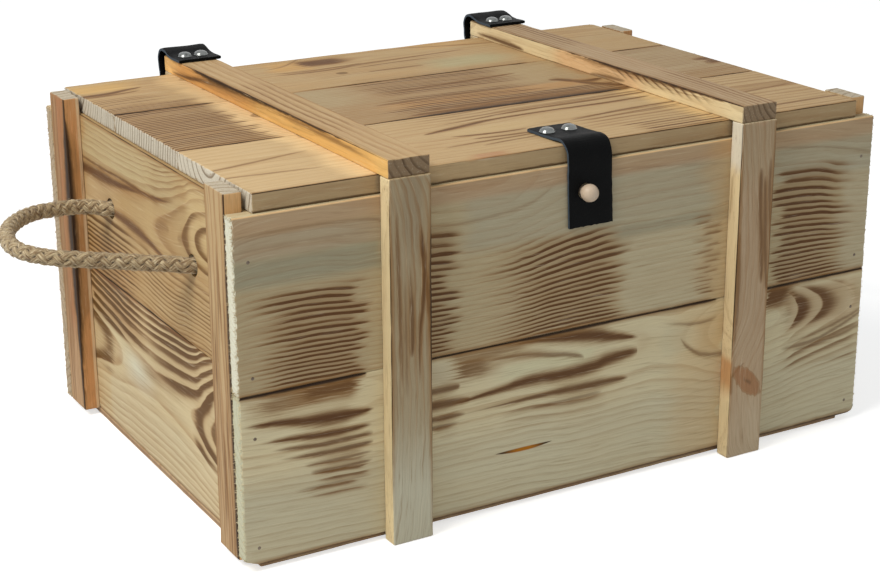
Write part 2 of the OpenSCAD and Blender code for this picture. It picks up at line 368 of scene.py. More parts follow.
def streak_group():
    """A burnt streak on wood: a dark core with a brown haze about its middle line."""
    group, fields, way_out = new_group(
        "streak", ["wood", "u", "v", "middle", "middle_low", "middle_span", "half", "half_low",
                   "half_span", "first", "last", "soft", "strength", "wobble", "fibre"], True)
    (wood, u, v, middle, middle_low, middle_span, half, half_low,
     half_span, first, last, soft, strength, wobble, fibre) = fields
    off = absolute(v - (middle * middle_span + middle_low) + wobble)
    half = (half * half_span + half_low) * (fibre * 0.8 + 0.6)
    shown = step(half, 0.05, 0.9) * window(u + wobble * 2.0, first, last, soft, soft) * strength
    wood = blend_colours(step(off, half * 2.7 + 1.3, half * 0.4) * (shown * 0.85), wood, WARM_BROWN)
    put(group, blend_colours(step(off, half * 1.8 + 0.3, half * 0.3) * shown, wood, BROWN), way_out)
    return group


PATCH = patch_group()
STREAK = streak_group()


def ring_marks(bands, line_at):
    """Ring number against radius, so that dark lines come at the radii in bands."""
    last = bands[-1] - bands[-2]
    marks = [(0.0, 0.0)] + [(radius, i + line_at) for i, radius in enumerate(bands)]
    return marks + [(bands[-1] + last * n, len(bands) - 1 + line_at + n) for n in (5, 10, 15)]


# What a piece's grain may hold; each piece's own values follow below, in WOOD. u runs along the
# grain, v across the face, and w into the wood from the face, all in millimetres.
# A patch is u from, to, softness of both ends, v from, to, softness of both edges, strength.
# A line is a row of (u, v, half its width), and a profile is a row of (u, value).
PLAIN = dict(
    inward=False,                # the dark late wood lies on the inner side of each ring
    ring=4.0, tighten=0.004,     # distance between rings, and how fast they close up further out
    bands=(),                    # the radii of the dark lines, in place of ring and tighten
    sway=5.0, ripple=1.1,        # how far the rings wander, slowly and quickly
    lift=None,                   # a profile that bends the rings, and the v between which it grows
    swirls=(),                   # rings pushed out round a knot: u, v, two reaches, push
    late_start=0.46, late_show=0.4,
    streak_start=0.14, streak_full=0.80,
    pale=CREAM, pale2=HONEY, side=None, toast=0.34, brown=BROWN, grain=0.5,
    flames=(),                   # patches where the flame has burnt the late wood
    tints=(),                    # patches, each with a colour
    strokes=(),                  # single burnt streaks: strength and a line
    chars=(),                    # patches of soft burnt spots
    burns=(), burn_core=0.15, halo=WARM_BROWN,   # burnt edges: v of the edge, profile of thickness
    side_tints=(), side_edges=(), side_lines=(), side_burn=None, fan=None,   # on the side facing -v
    pockets=(),                  # resin: u, v, half its length, half its height
    knots=(),                    # u, v, two reaches, turn and colour
    end_late=0.9, end_pale=END_PALE, end_dark=END_DARK)


class Pine:
    """Flamed and brushed pine with growth rings that run through the whole piece.

    The rings lie about a heart line that is at v = heart(u), depth(u) behind the face.
    """

    def __init__(self, name, spec):
        self.material, self.tree, self.shader = new_material(name)
        self.spec = {**PLAIN, **spec}
        place = object_place(self.tree)
        self.u = place[spec["u"]]
        self.v = place[spec["v"]]
        w_axis, w_face, w_sign = spec["w"]
        self.w = (place[w_axis] - w_face) * w_sign
        self.seed = float(spec["seed"])
        self.nothing = self.u * 0.0
        self.fibre = self.spots(26.0, 0.55, 3.0, 0.6)
        self.cloud = self.spots(70.0, 22.0, 2.0, offset=self.seed * 2)
        self.mottle = self.spots(9.0, 2.6, 2.0)
        self.find_rings()
        self.front = step(self.w, 0.9, 0.35)
        self.direction = coordinates(self.tree, "Normal")
        self.ends = step(absolute(self.direction[spec["u"]]), 0.55, 0.8)
        self.sides = step(absolute(self.direction[w_axis]), 0.8, 0.55) * (1.0 - self.ends)
        self.charred = self.nothing
        self.ground()
        self.flame()
        self.side_marks()
        self.char()
        self.side_char()
        self.pockets_and_knots()
        self.finish()

    def spots(self, long, wide, detail, roughness=0.5, across=None, offset=None):
        """Noise whose spots are long by wide, in millimetres."""
        across = self.v if across is None else across
        offset = self.seed if offset is None else offset
        return grain_noise(vector(self.u / long + offset, across / wide, self.w / wide), detail, roughness)

    def facing(self):
        """1 on the side that faces -v."""
        return step(self.direction[self.spec["v"]] * -1.0, 0.4, 0.8)

    def paint(self, amount, colour):
        self.wood = blend_colours(amount, self.wood, colour)

    def find_rings(self):
        """The rings' dark late wood, and a place for each ring's burnt streak."""
        spec, u, v, w, seed = self.spec, self.u, self.v, self.w, self.seed
        sway = self.spots(95.0, 34.0, 2.0)
        ripple = self.spots(16.0, 7.0, 1.0)
        across = v - curve(u, spec["heart"]) + (sway - 0.5) * spec["sway"]
        across = across + (ripple - 0.5) * spec["ripple"]
        if spec["lift"]:
            line, low, high = spec["lift"]
            across = across - curve(u, line) * step(v, low, high)
        radius = length(across, curve(u, spec["depth"]) + w)
        if spec["bands"]:
            rings = curve(radius, ring_marks(spec["bands"], 0.06 if spec["inward"] else 0.80))
        else:
            rings = radius / spec["ring"] * (radius * spec["tighten"] + 1.0)
        for ku, kv, su, sv, push in spec["swirls"]:
            far = length((u - ku) / su, (v - kv) / sv)
            rings = rings + step(far, 1.0, 0.0) * push
        ring = floor_of(rings + seed)
        part = rings + seed - ring
        if spec["inward"]:
            part = 1.0 - part
        self.roll = dice(ring, seed * 3.1 + 0.5)
        start = self.roll * 0.26 + spec["late_start"]
        self.late = step(part, start, 0.88) * step(part, 1.0, 0.93)
        self.weight = dice(ring, seed * 5.7 + 40.5) * 0.55 + 0.45
        band = step(part, self.roll * 0.20 + spec["streak_start"], spec["streak_full"])
        self.band = band * step(part, 1.0, 0.88)
        self.grain = self.spots(42.0, 1.5, 4.0, 0.7, across)

    def ground(self):
        """The unburnt wood and its tints."""
        spec = self.spec
        pale = blend_colours(self.cloud, spec["pale"], spec["pale2"])
        if spec["side"]:
            pale = blend_colours(self.sides, pale, spec["side"])
        self.wood = blend_colours(self.late * self.weight * spec["late_show"], pale, LATE)
        self.u_cloudy = self.u + (self.cloud - 0.5) * 30.0
        for *patch, colour in spec["tints"]:
            self.paint(apply(PATCH, self.u_cloudy, self.v, *patch) * self.front, colour)

    def flame(self):
        """Flamed patches, where each ring's streak ends where it likes, and single strokes."""
        spec, front, grain, mottle = self.spec, self.front, self.grain, self.mottle
        jitter = (self.roll - 0.5) * 12.0 + (mottle - 0.5) * 5.0 + (grain - 0.5) * 22.0
        u_flame = self.u + jitter
        flame = None
        for patch in spec["flames"]:
            spot = apply(PATCH, u_flame, self.v, *patch)
            flame = spot if flame is None else larger(flame, spot)
        flame = (flame or self.nothing) * (front * 0.85 + 0.15)
        self.paint(flame * spec["toast"], TOAST)
        self.streak = clamp(flame * self.band * self.weight * (grain * 1.0 + 0.62))
        self.paint(clamp(self.streak * 1.3), WARM_BROWN)
        self.paint(step(self.streak, 0.14, 0.72), spec["brown"])
        wobble = (grain - 0.5) * 3.0 + (mottle - 0.5)
        for strength, *line in spec["strokes"]:
            self.burnt_line(self.v, line, front * strength, wobble)

    def burnt_line(self, v, line, strength, wobble):
        """A burnt streak along a line of (u, v, half its width)."""
        first, last = line[0][0], line[-1][0]
        share = clamp((self.u - first) / (last - first))
        middle = drawn(share, [(pu, pv) for pu, pv, _ in line])
        half = drawn(share, [(pu, size) for pu, _, size in line])
        soft = min(16.0, (last - first) * 0.2)
        first -= END_SLACK if line[0][2] > 0 else 0.0
        last += END_SLACK if line[-1][2] > 0 else 0.0
        self.wood = apply(STREAK, self.wood, self.u, v, *middle, *half, first, last, soft, strength,
                          wobble, self.fibre)

    def side_marks(self):
        """Tints and strokes on the side that faces -v, where w runs across the side."""
        spec = self.spec
        for *edges, strength, colour in spec["side_tints"]:
            self.paint(window(self.u_cloudy, *edges) * self.facing() * strength, colour)
        for w0, w1, strength, colour in spec["side_edges"]:
            patch = window(self.w + (self.grain - 0.5) * 2.4, w0, w1, 0.8, 0.4) * self.facing()
            self.paint(patch * strength, colour)
        for strength, *line in spec["side_lines"]:
            self.burnt_line(self.w, line, self.facing() * strength, (self.grain - 0.5) * 3.0)

    def char(self):
        """Soft burnt spots, and the burnt edges of the face."""
        spec, u, v, front, grain = self.spec, self.u, self.v, self.front, self.grain
        u_char = u + (grain - 0.5) * 30.0 + (self.cloud - 0.5) * 16.0
        v_char = v + (self.cloud - 0.5) * 6.0 + (grain - 0.5) * 6.0
        for patch in spec["chars"]:
            spot = apply(PATCH, u_char, v_char, *patch)
            spot = clamp(spot * (grain * 0.9 + 0.55)) * (front * 0.9 + 0.1)
            self.paint(clamp(spot * 1.2), WARM_BROWN)
            self.paint(step(spot, 0.30, 1.0), BROWN)
        rough_edge = grain_noise(vector(u / 14.0 + self.seed, v * 0.0, self.seed), 3.0) + 0.5
        for place, profile in spec["burns"]:
            thick = curve(u, profile) * rough_edge
            off = absolute(v - place)
            burn = step(off, thick, thick * spec["burn_core"]) * step(thick, 0.05, 0.5)
            haze = step(off, thick * 1.25 + 2.6, 0.0) * step(thick, 0.05, 0.8)
            self.paint(haze * (front * 0.8), spec["halo"])
            self.blacken(burn * (front * 0.8 + 0.2))

    def blacken(self, burn):
        self.paint(burn, BLACKENED)
        self.charred = larger(self.charred, burn)

    def side_char(self):
        """The burnt edge of the side that faces -v, and a fan of slanted burnt rings there."""
        u, w, grain = self.u, self.w, self.grain
        if self.spec["side_burn"]:
            thick = curve(u, self.spec["side_burn"]) + (self.mottle - 0.5) * 2.6 + (grain - 0.5) * 7.0
            shown = step(thick, 0.3, 1.6) * self.facing()
            self.paint(step(w, thick * 2.2 + 1.5, thick * 0.3) * shown * 0.7, WARM_BROWN)
            self.blacken(step(w, thick, thick * 0.2) * shown)
        if self.spec["fan"]:
            u0, u1, slope, pitch, reach = self.spec["fan"]
            turn = (u + w * slope + (self.cloud - 0.5) * 26.0) / pitch
            stripe = turn - floor_of(turn)
            stripe = step(stripe, 0.35, 0.80) * step(stripe, 1.0, 0.88)
            stripe = stripe * window(u, u0, u1, 40, 14) * step(w, reach, reach * 0.35) * self.facing()
            self.paint(clamp(stripe * (grain + 0.35)), BROWN)

    def pockets_and_knots(self):
        u, v = self.u, self.v
        for pu, pv, half, thick in self.spec["pockets"]:
            along = (u - pu) / half
            lens = (1.0 - along * along) * thick
            bend = along * along * 0.8
            inside = step(absolute(v - pv - bend), lens, lens * 0.45) * step(lens, 0.0, 0.2)
            resin = blend_colours(step(absolute(along), 0.15, 0.8), RESIN, RESIN_TIP)
            self.paint(inside * self.front, resin)
        for ku, kv, su, sv, turn, colour in self.spec["knots"]:
            du = (u - ku) * math.cos(turn) + (v - kv) * math.sin(turn)
            dv = (v - kv) * math.cos(turn) - (u - ku) * math.sin(turn)
            far = length(du / su, dv / sv) + (self.mottle - 0.5) * 0.5
            growth = far * 6.0 - floor_of(far * 6.0)
            inner = blend_colours(step(growth, 0.5, 1.0) * 0.25, colour, WARM_BROWN)
            inner = blend_colours(step(far, 0.30, 0.06) * 0.8, inner, BROWN)
            self.paint(step(far, 1.05, 0.80) * 0.85, inner)
            self.paint(step(absolute(far - 0.95), 0.10, 0.0) * 0.45, WARM_BROWN)

    def finish(self):
        """The sawn ends, pale with the ring arcs, the brushed grain over all, and the bumps."""
        spec, v, w, grain, fibre, late = self.spec, self.v, self.w, self.grain, self.fibre, self.late
        saw = grain_noise(vector(self.nothing + self.seed, v / 0.8, w / 0.8), 3.0, 0.7)
        rings = clamp(late * self.weight * spec["end_late"] + (saw - 0.5) * 0.6)
        self.paint(self.ends, blend_colours(rings, spec["end_pale"], spec["end_dark"]))
        bare = 1.0 - self.charred * 0.85
        self.paint(step(grain, 0.50, 0.80) * bare * spec["grain"], GRAIN_DARK)
        self.paint(step(grain, 0.46, 0.22) * bare * 0.35, GRAIN_PALE)
        self.paint((fibre - 0.35) * 0.34, FIBRE_DARK)
        height = late * 0.35 + fibre * 0.5 + self.mottle * 0.25 - self.streak * 0.25
        dress(self.tree, self.shader, self.wood, 0.66 + (fibre - 0.5) * 0.2, height, 0.0005, 0.55,
              Specular_IOR_Level=0.16)


def loose_strokes(seed, count, u0, u1, v0, v1, half, strength):
    """Wandering burnt lines along the grain, for the strokes of a narrow piece."""
    chance = random.Random(seed)
    strokes = []
    for i in range(count):
        middle = chance.uniform(u0, u1)
        reach = chance.uniform(0.12, 0.34) * (u1 - u0)
        v = v0 + (v1 - v0) * (i + chance.uniform(0.2, 0.8)) / count
        line = []
        for n in range(5):
            v += chance.uniform(-0.7, 0.7)
            size = half * (0.0, 1.0, chance.uniform(0.7, 1.4), chance.uniform(0.5, 1.0), 0.0)[n]
            line.append((middle + reach * (n - 2) / 2, v, size))
        strokes.append((strength * chance.uniform(0.5, 1.0), *line))
    return strokes


# What the pieces of one face share: the axes of u and v, and for w its axis, the face and the way in
FRONT = dict(u="x", v="z", w=("y", -WALL_FACE, 1), end_late=0.5)
BACK = dict(u="x", v="z", w=("y", WALL_FACE, -1), end_pale=srgb(178, 160, 134), end_dark=srgb(140, 118, 92))
LEFT = dict(u="y", v="z", w=("x", -END_FACE, 1), brown=srgb(92, 62, 26))
RIGHT_W = ("x", END_FACE, -1)
TOP = dict(u="x", v="y", w=("z", LID_TOP, -1), end_late=1)
FRONT_BATTEN = dict(u="z", v="x", w=("y", -BATTEN_FACE, 1), tighten=0, sway=9, ripple=2.6, grain=0.8)
BACK_BATTEN = dict(u="z", v="x", w=("y", BATTEN_FACE, -1), tighten=0, sway=8, ripple=2.4, late_show=0.34,
                   side=srgb(214, 192, 150), depth=[(0, 12), (246, 12)])
LID_BATTEN = dict(u="y", v="x", w=("z", LID_BATTEN_TOP, -1), tighten=0, ripple=1.8)

WOOD = {}
WOOD["front_board_upper"] = dict(
    FRONT, seed=3, ring=17, tighten=0.0216, late_show=0.34, pale=srgb(196, 185, 150),
    pale2=srgb(190, 168, 130), toast=0.5, streak_full=0.7, end_pale=srgb(221, 220, 200),
    end_dark=srgb(194, 186, 160), heart=[(-250, 240), (250, 240)],
    lift=([(-250, -3), (-210, 2), (-165, -2), (-110, -3), (-60, -3), (0, 0.5), (30, 3), (100, 4), (165, 7),
        (220, 2), (250, -1)], 118, 205),
    depth=[(-250, 30), (-150, 28), (-80, 20), (-45, 26), (0, 36), (60, 38), (250, 36)],
    flames=[(-226, -166, 44, 12, 116, 182, 2, 10, 1), (-130, -100, 5, 16, 122, 205, 5, 14, 1),
        (-52, 28, 80, 30, 116, 186, 2, 12, 1), (97, 112, 12, 6, 124, 184, 6, 6, 0.42),
        (166, 222, 12, 44, 116, 204, 2, 14, 1), (-250, 250, 1, 1, 116, 236, 2, 2, 0.08)],
    tints=[(-260, -160, 5, 30, 118, 188, 2, 8, 0.32, srgb(162, 144, 112)),
        (-260, -150, 5, 10, 188, 206, 8, 8, 0.6, srgb(138, 142, 124)),
        (30, 125, 16, 10, 120, 178, 6, 6, 0.4, srgb(208, 200, 170)),
        (224, 260, 12, 4, 118, 205, 6, 12, 0.4, srgb(204, 196, 168)),
        (-90, 125, 20, 10, 186, 224, 12, 8, 0.3, BLUE_STAIN),
        (28, 125, 20, 16, 177, 186, 7, 7, 0.42, srgb(134, 142, 130)),
        (160, 255, 10, 5, 196, 222, 8, 8, 0.3, BLUE_STAIN),
        (-260, -150, 5, 5, 206, 221, 5, 4, 0.45, srgb(164, 144, 126)),
        # a pinker, darker band along the top: partly the wood's own tone, partly painted shade where less
        # light reaches the top of the front
        (-260, 260, 5, 5, 221, 240, 6, 4, 0.6, PINK),
        # a thin pale line along the top arris: a painted highlight of the lit ledge under the lid
        (-260, 260, 1, 1, 233, 234.2, 0.4, 0.2, 0.85, srgb(236, 198, 146)),
        (104, 124, 24, 4, 118, 236, 4, 4, 0.28, AMBER)],
    strokes=[(0.35, (-252, 221, 0.4), (-200, 222, 0.6), (-150, 217.5, 0.6)),
        (0.25, (-252, 211, 0.4), (-205, 213, 0.5), (-150, 210, 0.4)),
        (0.3, (160, 222, 0.4), (210, 216, 0.6), (252, 207, 0.5)),
        (0.25, (-112, 207, 0.5), (-70, 208, 0.6), (-40, 213, 0.5), (-22, 228, 0)),
        (0.22, (24, 226, 0.4), (60, 223, 0.5), (120, 217, 0.4))],
    burns=[
        (119.5, [(-250, 0.9), (-235, 1), (-175, 1.2), (-160, 0.1), (-128, 0.8), (-112, 1), (-90, 0.6),
            (-55, 0.8), (-10, 1.2), (45, 0.9), (75, 0.6), (100, 1), (116, 0.2), (160, 0.9), (175, 1),
            (225, 0.9), (250, 0.4)])])
WOOD["front_board_lower"] = dict(
    FRONT, seed=11, late_show=0.26, toast=0.3, inward=True, streak_start=0,
    bands=[12, 18, 24.5, 30, 35.4, 41, 46.3, 51.3, 56, 60, 64.9, 70, 75], pale=srgb(226, 218, 184),
    pale2=srgb(220, 202, 160), end_pale=srgb(197, 197, 170), end_dark=srgb(172, 165, 136),
    heart=[(-250, 112), (-190, 108), (-110, 104), (-50, 103.7), (0, 99.5), (50, 99), (88, 95), (148, 95),
        (200, 98), (250, 98)],
    depth=[(-250, 26), (-190, 27), (-110, 32), (-50, 32.5), (0, 33.5), (50, 35.4), (65, 36.5), (80, 36.3),
        (88, 35.4), (108, 30), (125, 24.5), (148, 16), (190, 24.5), (213, 30), (245, 35.4), (250, 36)],
    flames=[(-198, -166, 20, 10, 40, 68, 14, 6, 0.5), (-112, -98, 5, 12, 62, 102, 8, 6, 0.35),
        (-60, 20, 30, 20, 56, 72, 6, 4, 0.32), (180, 236, 16, 20, 84, 114, 10, 8, 0.88),
        (178, 248, 24, 20, 50, 86, 10, 8, 0.36), (-250, 250, 1, 1, 0, 120, 1, 1, 0.07)],
    strokes=[
        (1, (-252, 99.5, 0), (-228, 98.5, 1.2), (-205, 95.5, 2.4), (-186, 94, 3.2), (-172, 93.6, 2),
            (-156, 94, 0)),
        (0.95, (-242, 87, 0), (-214, 85.5, 1), (-190, 83.6, 1.6), (-174, 83.2, 1.2), (-158, 84, 0)),
        (0.75, (-232, 80, 0), (-208, 78.4, 0.9), (-186, 77.2, 1.2), (-158, 77.6, 0)),
        (0.75, (-228, 73.5, 0), (-206, 71.8, 0.8), (-188, 71, 1.3), (-158, 71.4, 0)),
        (0.6, (-208, 65.5, 0), (-184, 64.6, 0.8), (-158, 65, 0)),
        (0.6, (-204, 59.8, 0), (-182, 58.8, 0.9), (-158, 59, 0)),
        (0.35, (-216, 49, 0), (-188, 48.8, 0.7), (-158, 49, 0)),
        (0.3, (-206, 43, 0), (-186, 42.6, 0.6), (-160, 42.8, 0)),
        (0.7, (-121, 96, 1.4), (-108, 96, 1.8), (-93, 96.5, 0)),
        (0.8, (-121, 86, 2), (-108, 86, 2.2), (-84, 85, 0)),
        (0.65, (-121, 76.5, 1.2), (-108, 76.2, 1.2), (-88, 76, 0)),
        (0.55, (-121, 70.8, 1), (-108, 70.6, 0.9), (-92, 71, 0)),
        (0.95, (-72, 118.5, 0), (-36, 117, 1.4), (-8, 114.5, 3), (12, 111.5, 3.4), (26, 108, 2.4),
            (50, 103, 0)),
        (0.55, (-74, 110, 0.4), (-48, 108.5, 1), (-22, 104, 1.2), (-2, 99.5, 1), (4, 97, 0)),
        (0.95, (-112, 83.5, 0), (-84, 85.5, 0.8), (-62, 87.4, 1.4), (-38, 89, 2.6), (-10, 88, 3),
            (10, 89, 3.2), (24, 92, 3), (48, 93.5, 0)),
        (0.8, (-96, 75.5, 0), (-60, 76, 0.7), (-28, 76.4, 1.2), (6, 75.8, 2.2), (24, 75.6, 1.6),
            (42, 74.5, 0)),
        (0.45, (-40, 68.5, 0), (-10, 68.5, 0.9), (20, 69, 0)),
        (0.4, (60, 112, 0), (84, 106, 0.6), (100, 104, 0.8), (116, 106, 0)),
        (0.45, (84, 96, 0), (93, 86, 1), (104, 80, 1.2), (121, 77, 1)),
        (0.5, (174, 69.5, 0), (204, 70.6, 0.9), (226, 76, 0.9), (250, 85, 0.6)),
        (0.45, (178, 72.5, 0), (206, 76, 0.7), (236, 83, 0.8), (250, 88, 0.4)),
        (0.45, (184, 66.5, 0), (214, 68, 0.8), (250, 75, 0.5))],
    chars=[(-240, -168, 30, 10, 105, 121, 9, 2, 0.55), (-212, -170, 24, 8, 108, 121, 9, 2, 0.75),
        (-96, -70, 12, 20, 99, 114, 9, 5, 0.62), (-70, -30, 10, 20, 103, 111, 6, 4, 0.28),
        (-100, -40, 14, 20, 111, 121, 6, 2, 0.5), (160, 182, 4, 18, 103, 121, 14, 2, 0.8),
        (244, 254, 9, 2, 90, 112, 16, 12, 0.25)],
    tints=[(-260, -150, 5, 20, 5, 60, 5, 20, 0.28, srgb(190, 178, 146)),
        (180, 250, 10, 10, 82, 114, 8, 6, 0.34, srgb(196, 160, 124)),
        (-121, -100, 4, 20, 98, 116, 12, 6, 0.3, srgb(180, 170, 154)),
        (-66, 8, 14, 10, 93, 103, 4, 4, 0.4, srgb(214, 214, 176)),
        (70, 92, 10, 10, 84, 106, 8, 8, 0.3, srgb(206, 206, 178)),
        (98, 122, 12, 6, 82, 108, 8, 8, 0.35, srgb(208, 172, 120)),
        (-260, 260, 5, 5, 0, 60, 5, 30, 0.22, BLUE_STAIN), (80, 124, 30, 4, 5, 118, 8, 4, 0.25, AMBER)],
    burns=[
        (119, [(-250, 1.6), (-175, 2.2), (-162, 0.2), (-150, 0), (-120, 0.9), (-60, 1), (-20, 2.2),
            (20, 1.8), (50, 0.9), (100, 1.8), (116, 0.3), (150, 0), (160, 1.8), (225, 1.4), (250, 0.6)]),
        (5, [(-250, 0.5), (-235, 0.9), (-170, 0.8), (-150, 0.3), (-110, 1), (-20, 0.8), (60, 1.6),
            (115, 1.8), (160, 1.6), (230, 2), (250, 0.8)])],
    pockets=[(-44, 40.5, 23, 1.9)])
WOOD["back_board_upper"] = dict(
    BACK, seed=23, ring=15, tighten=0.018, late_show=0.34,
    heart=[(-250, 236), (-60, 246), (120, 232), (250, 240)],
    depth=[(-250, 34), (-120, 22), (30, 34), (150, 26), (250, 36)],
    flames=[(-226, -172, 40, 12, 116, 190, 2, 12, 0.95), (-90, 40, 50, 50, 116, 176, 2, 14, 0.95),
        (88, 116, 20, 6, 124, 204, 6, 10, 0.7), (168, 232, 12, 40, 130, 210, 6, 12, 0.9),
        (-250, 250, 1, 1, 116, 236, 2, 2, 0.1)],
    burns=[
        (119.5, [(-250, 1), (-170, 1.4), (-155, 0), (-115, 1.2), (-10, 1.6), (100, 1.2), (118, 0),
            (158, 1.2), (230, 1.4), (250, 0.6)])])
WOOD["back_board_lower"] = dict(
    BACK, seed=31, ring=11, tighten=0.01, late_show=0.32,
    heart=[(-250, 58), (-100, 66), (80, 60), (250, 70)],
    depth=[(-250, 18), (-150, 30), (-20, 36), (90, 22), (170, 30), (250, 20)],
    flames=[(-228, -168, 34, 12, 60, 119, 14, 2, 0.9), (-112, -36, 6, 50, 70, 110, 8, 6, 0.9),
        (10, 112, 40, 8, 20, 60, 8, 8, 0.7), (166, 224, 10, 36, 44, 112, 10, 8, 0.9),
        (-250, 250, 1, 1, 0, 120, 1, 1, 0.1)],
    burns=[(119.5, [(-250, 0.8), (-170, 1.6), (-155, 0), (-10, 1.6), (118, 0), (230, 1.4), (250, 0.4)]),
        (5, [(-250, 0.5), (-150, 1.6), (0, 1), (150, 1.8), (250, 0.6)])])
WOOD["left_end_board_upper"] = dict(
    LEFT, seed=5, late_show=0.45, streak_start=0.04,
    bands=[5.5, 9.5, 13.5, 17.8, 24.5, 31.4, 37, 41.5, 45, 48, 50.5, 53, 55.8, 58.6, 61.5, 64.5, 67.5, 70.5,
        73.5, 76.5],
    pale=srgb(190, 168, 124), pale2=srgb(182, 148, 98),
    heart=[(-158, 199), (-97, 197), (-60, 192), (-17, 187), (0, 187), (158, 186)],
    depth=[(-158, 8), (-97, 15), (-80, 18.5), (-60, 25), (-17, 31.4), (0, 33), (10, 34.5), (60, 36),
        (126, 36), (158, 36)],
    flames=[(30, 130, 90, 4, 116, 168, 2, 8, 0.95), (-130, 30, 6, 80, 116, 170, 2, 8, 0.48),
        (-130, -10, 4, 20, 170, 215, 6, 10, 0.5), (-130, 0, 4, 30, 205, 232, 8, 4, 0.34),
        (-158, 158, 1, 1, 116, 236, 2, 2, 0.2)],
    strokes=[
        (0.95, (-50, 212, 0), (-20, 207, 0.8), (20, 203, 1.3), (60, 198.5, 2.2), (96, 196.5, 3.2),
            (128, 195.5, 3)),
        (0.8, (-20, 204, 0), (10, 204.5, 0.8), (50, 204.5, 0.9), (90, 203, 0.8), (128, 203, 0.6)),
        (0.9, (-44, 165, 0), (-20, 168, 0.9), (6, 172, 2), (30, 174, 3), (60, 175, 2.2), (84, 174, 0)),
        (0.25, (-36, 190, 0), (-24, 190, 2.6), (-16, 187.5, 2), (-11, 187, 0)),
        (0.25, (-70, 190, 0), (-62, 190, 3), (-54, 189, 2), (-50, 188, 0))],
    tints=[(60, 126, 20, 4, 168, 196, 6, 6, 0.45, HONEY),
        (-50, 126, 40, 10, 205, 236, 8, 4, 0.3, srgb(196, 190, 152)),
        (-100, -70, 4, 16, 184, 230, 10, 8, 0.4, srgb(222, 200, 150)),
        (40, 130, 60, 4, 118, 150, 6, 10, 0.35, srgb(172, 120, 66))],
    burns=[(119.5, [(-158, 0.4), (-95, 0.5), (-40, 1.3), (40, 1.6), (126, 1.2), (158, 0.4)]),
        (234, [(-158, 0.6), (-60, 0.9), (60, 0.8), (158, 0.5)])])
WOOD["left_end_board_lower"] = dict(
    LEFT, seed=8, late_show=0.5, streak_start=0, streak_full=0.62,
    lift=([(-158, 24), (-97, 9), (-80, 4.5), (-62, 0.5), (-40, 0), (158, 0)], 72, 96),
    bands=[24, 31.3, 37, 42.2, 48.5, 53.2, 57.5, 62, 66, 70, 74], pale=srgb(216, 204, 166),
    pale2=srgb(208, 182, 136), heart=[(-158, 68), (-97, 67), (0, 66), (158, 66)],
    depth=[(-158, 5), (-97, 24.3), (-85, 27), (-65, 31.5), (0, 36), (10, 36), (60, 33.5), (75, 31.5),
        (112, 28), (120, 27.1), (158, 20)],
    flames=[(20, 130, 110, 4, 82, 121, 8, 2, 1), (-130, 20, 4, 110, 74, 121, 14, 2, 0.85),
        (88, 130, 26, 4, 44, 88, 8, 8, 0.62), (-130, -66, 4, 18, 40, 100, 10, 10, 0.8),
        (-60, 30, 40, 40, 66, 84, 8, 8, 0.35), (-158, 158, 1, 1, 0, 64, 1, 8, 0.2)],
    tints=[(50, 130, 60, 4, 92, 121, 14, 4, 0.35, srgb(150, 112, 68)),
        (16, 60, 50, 50, 54, 74, 22, 18, 0.85, srgb(220, 218, 196)),
        (-50, 0, 20, 20, 56, 74, 6, 6, 0.45, srgb(214, 198, 158)),
        (-100, 100, 20, 10, 5, 46, 4, 14, 0.3, srgb(216, 208, 178)),
        (20, 130, 60, 4, 84, 121, 10, 4, 0.3, srgb(186, 134, 78))],
    halo=srgb(128, 84, 46),
    burns=[(119.5, [(-158, 0.3), (-95, 0.3), (-20, 0.8), (60, 1), (158, 0.4)]),
        (5, [(-158, 1.2), (-60, 1), (60, 0.6), (130, 1), (158, 0.6)])])
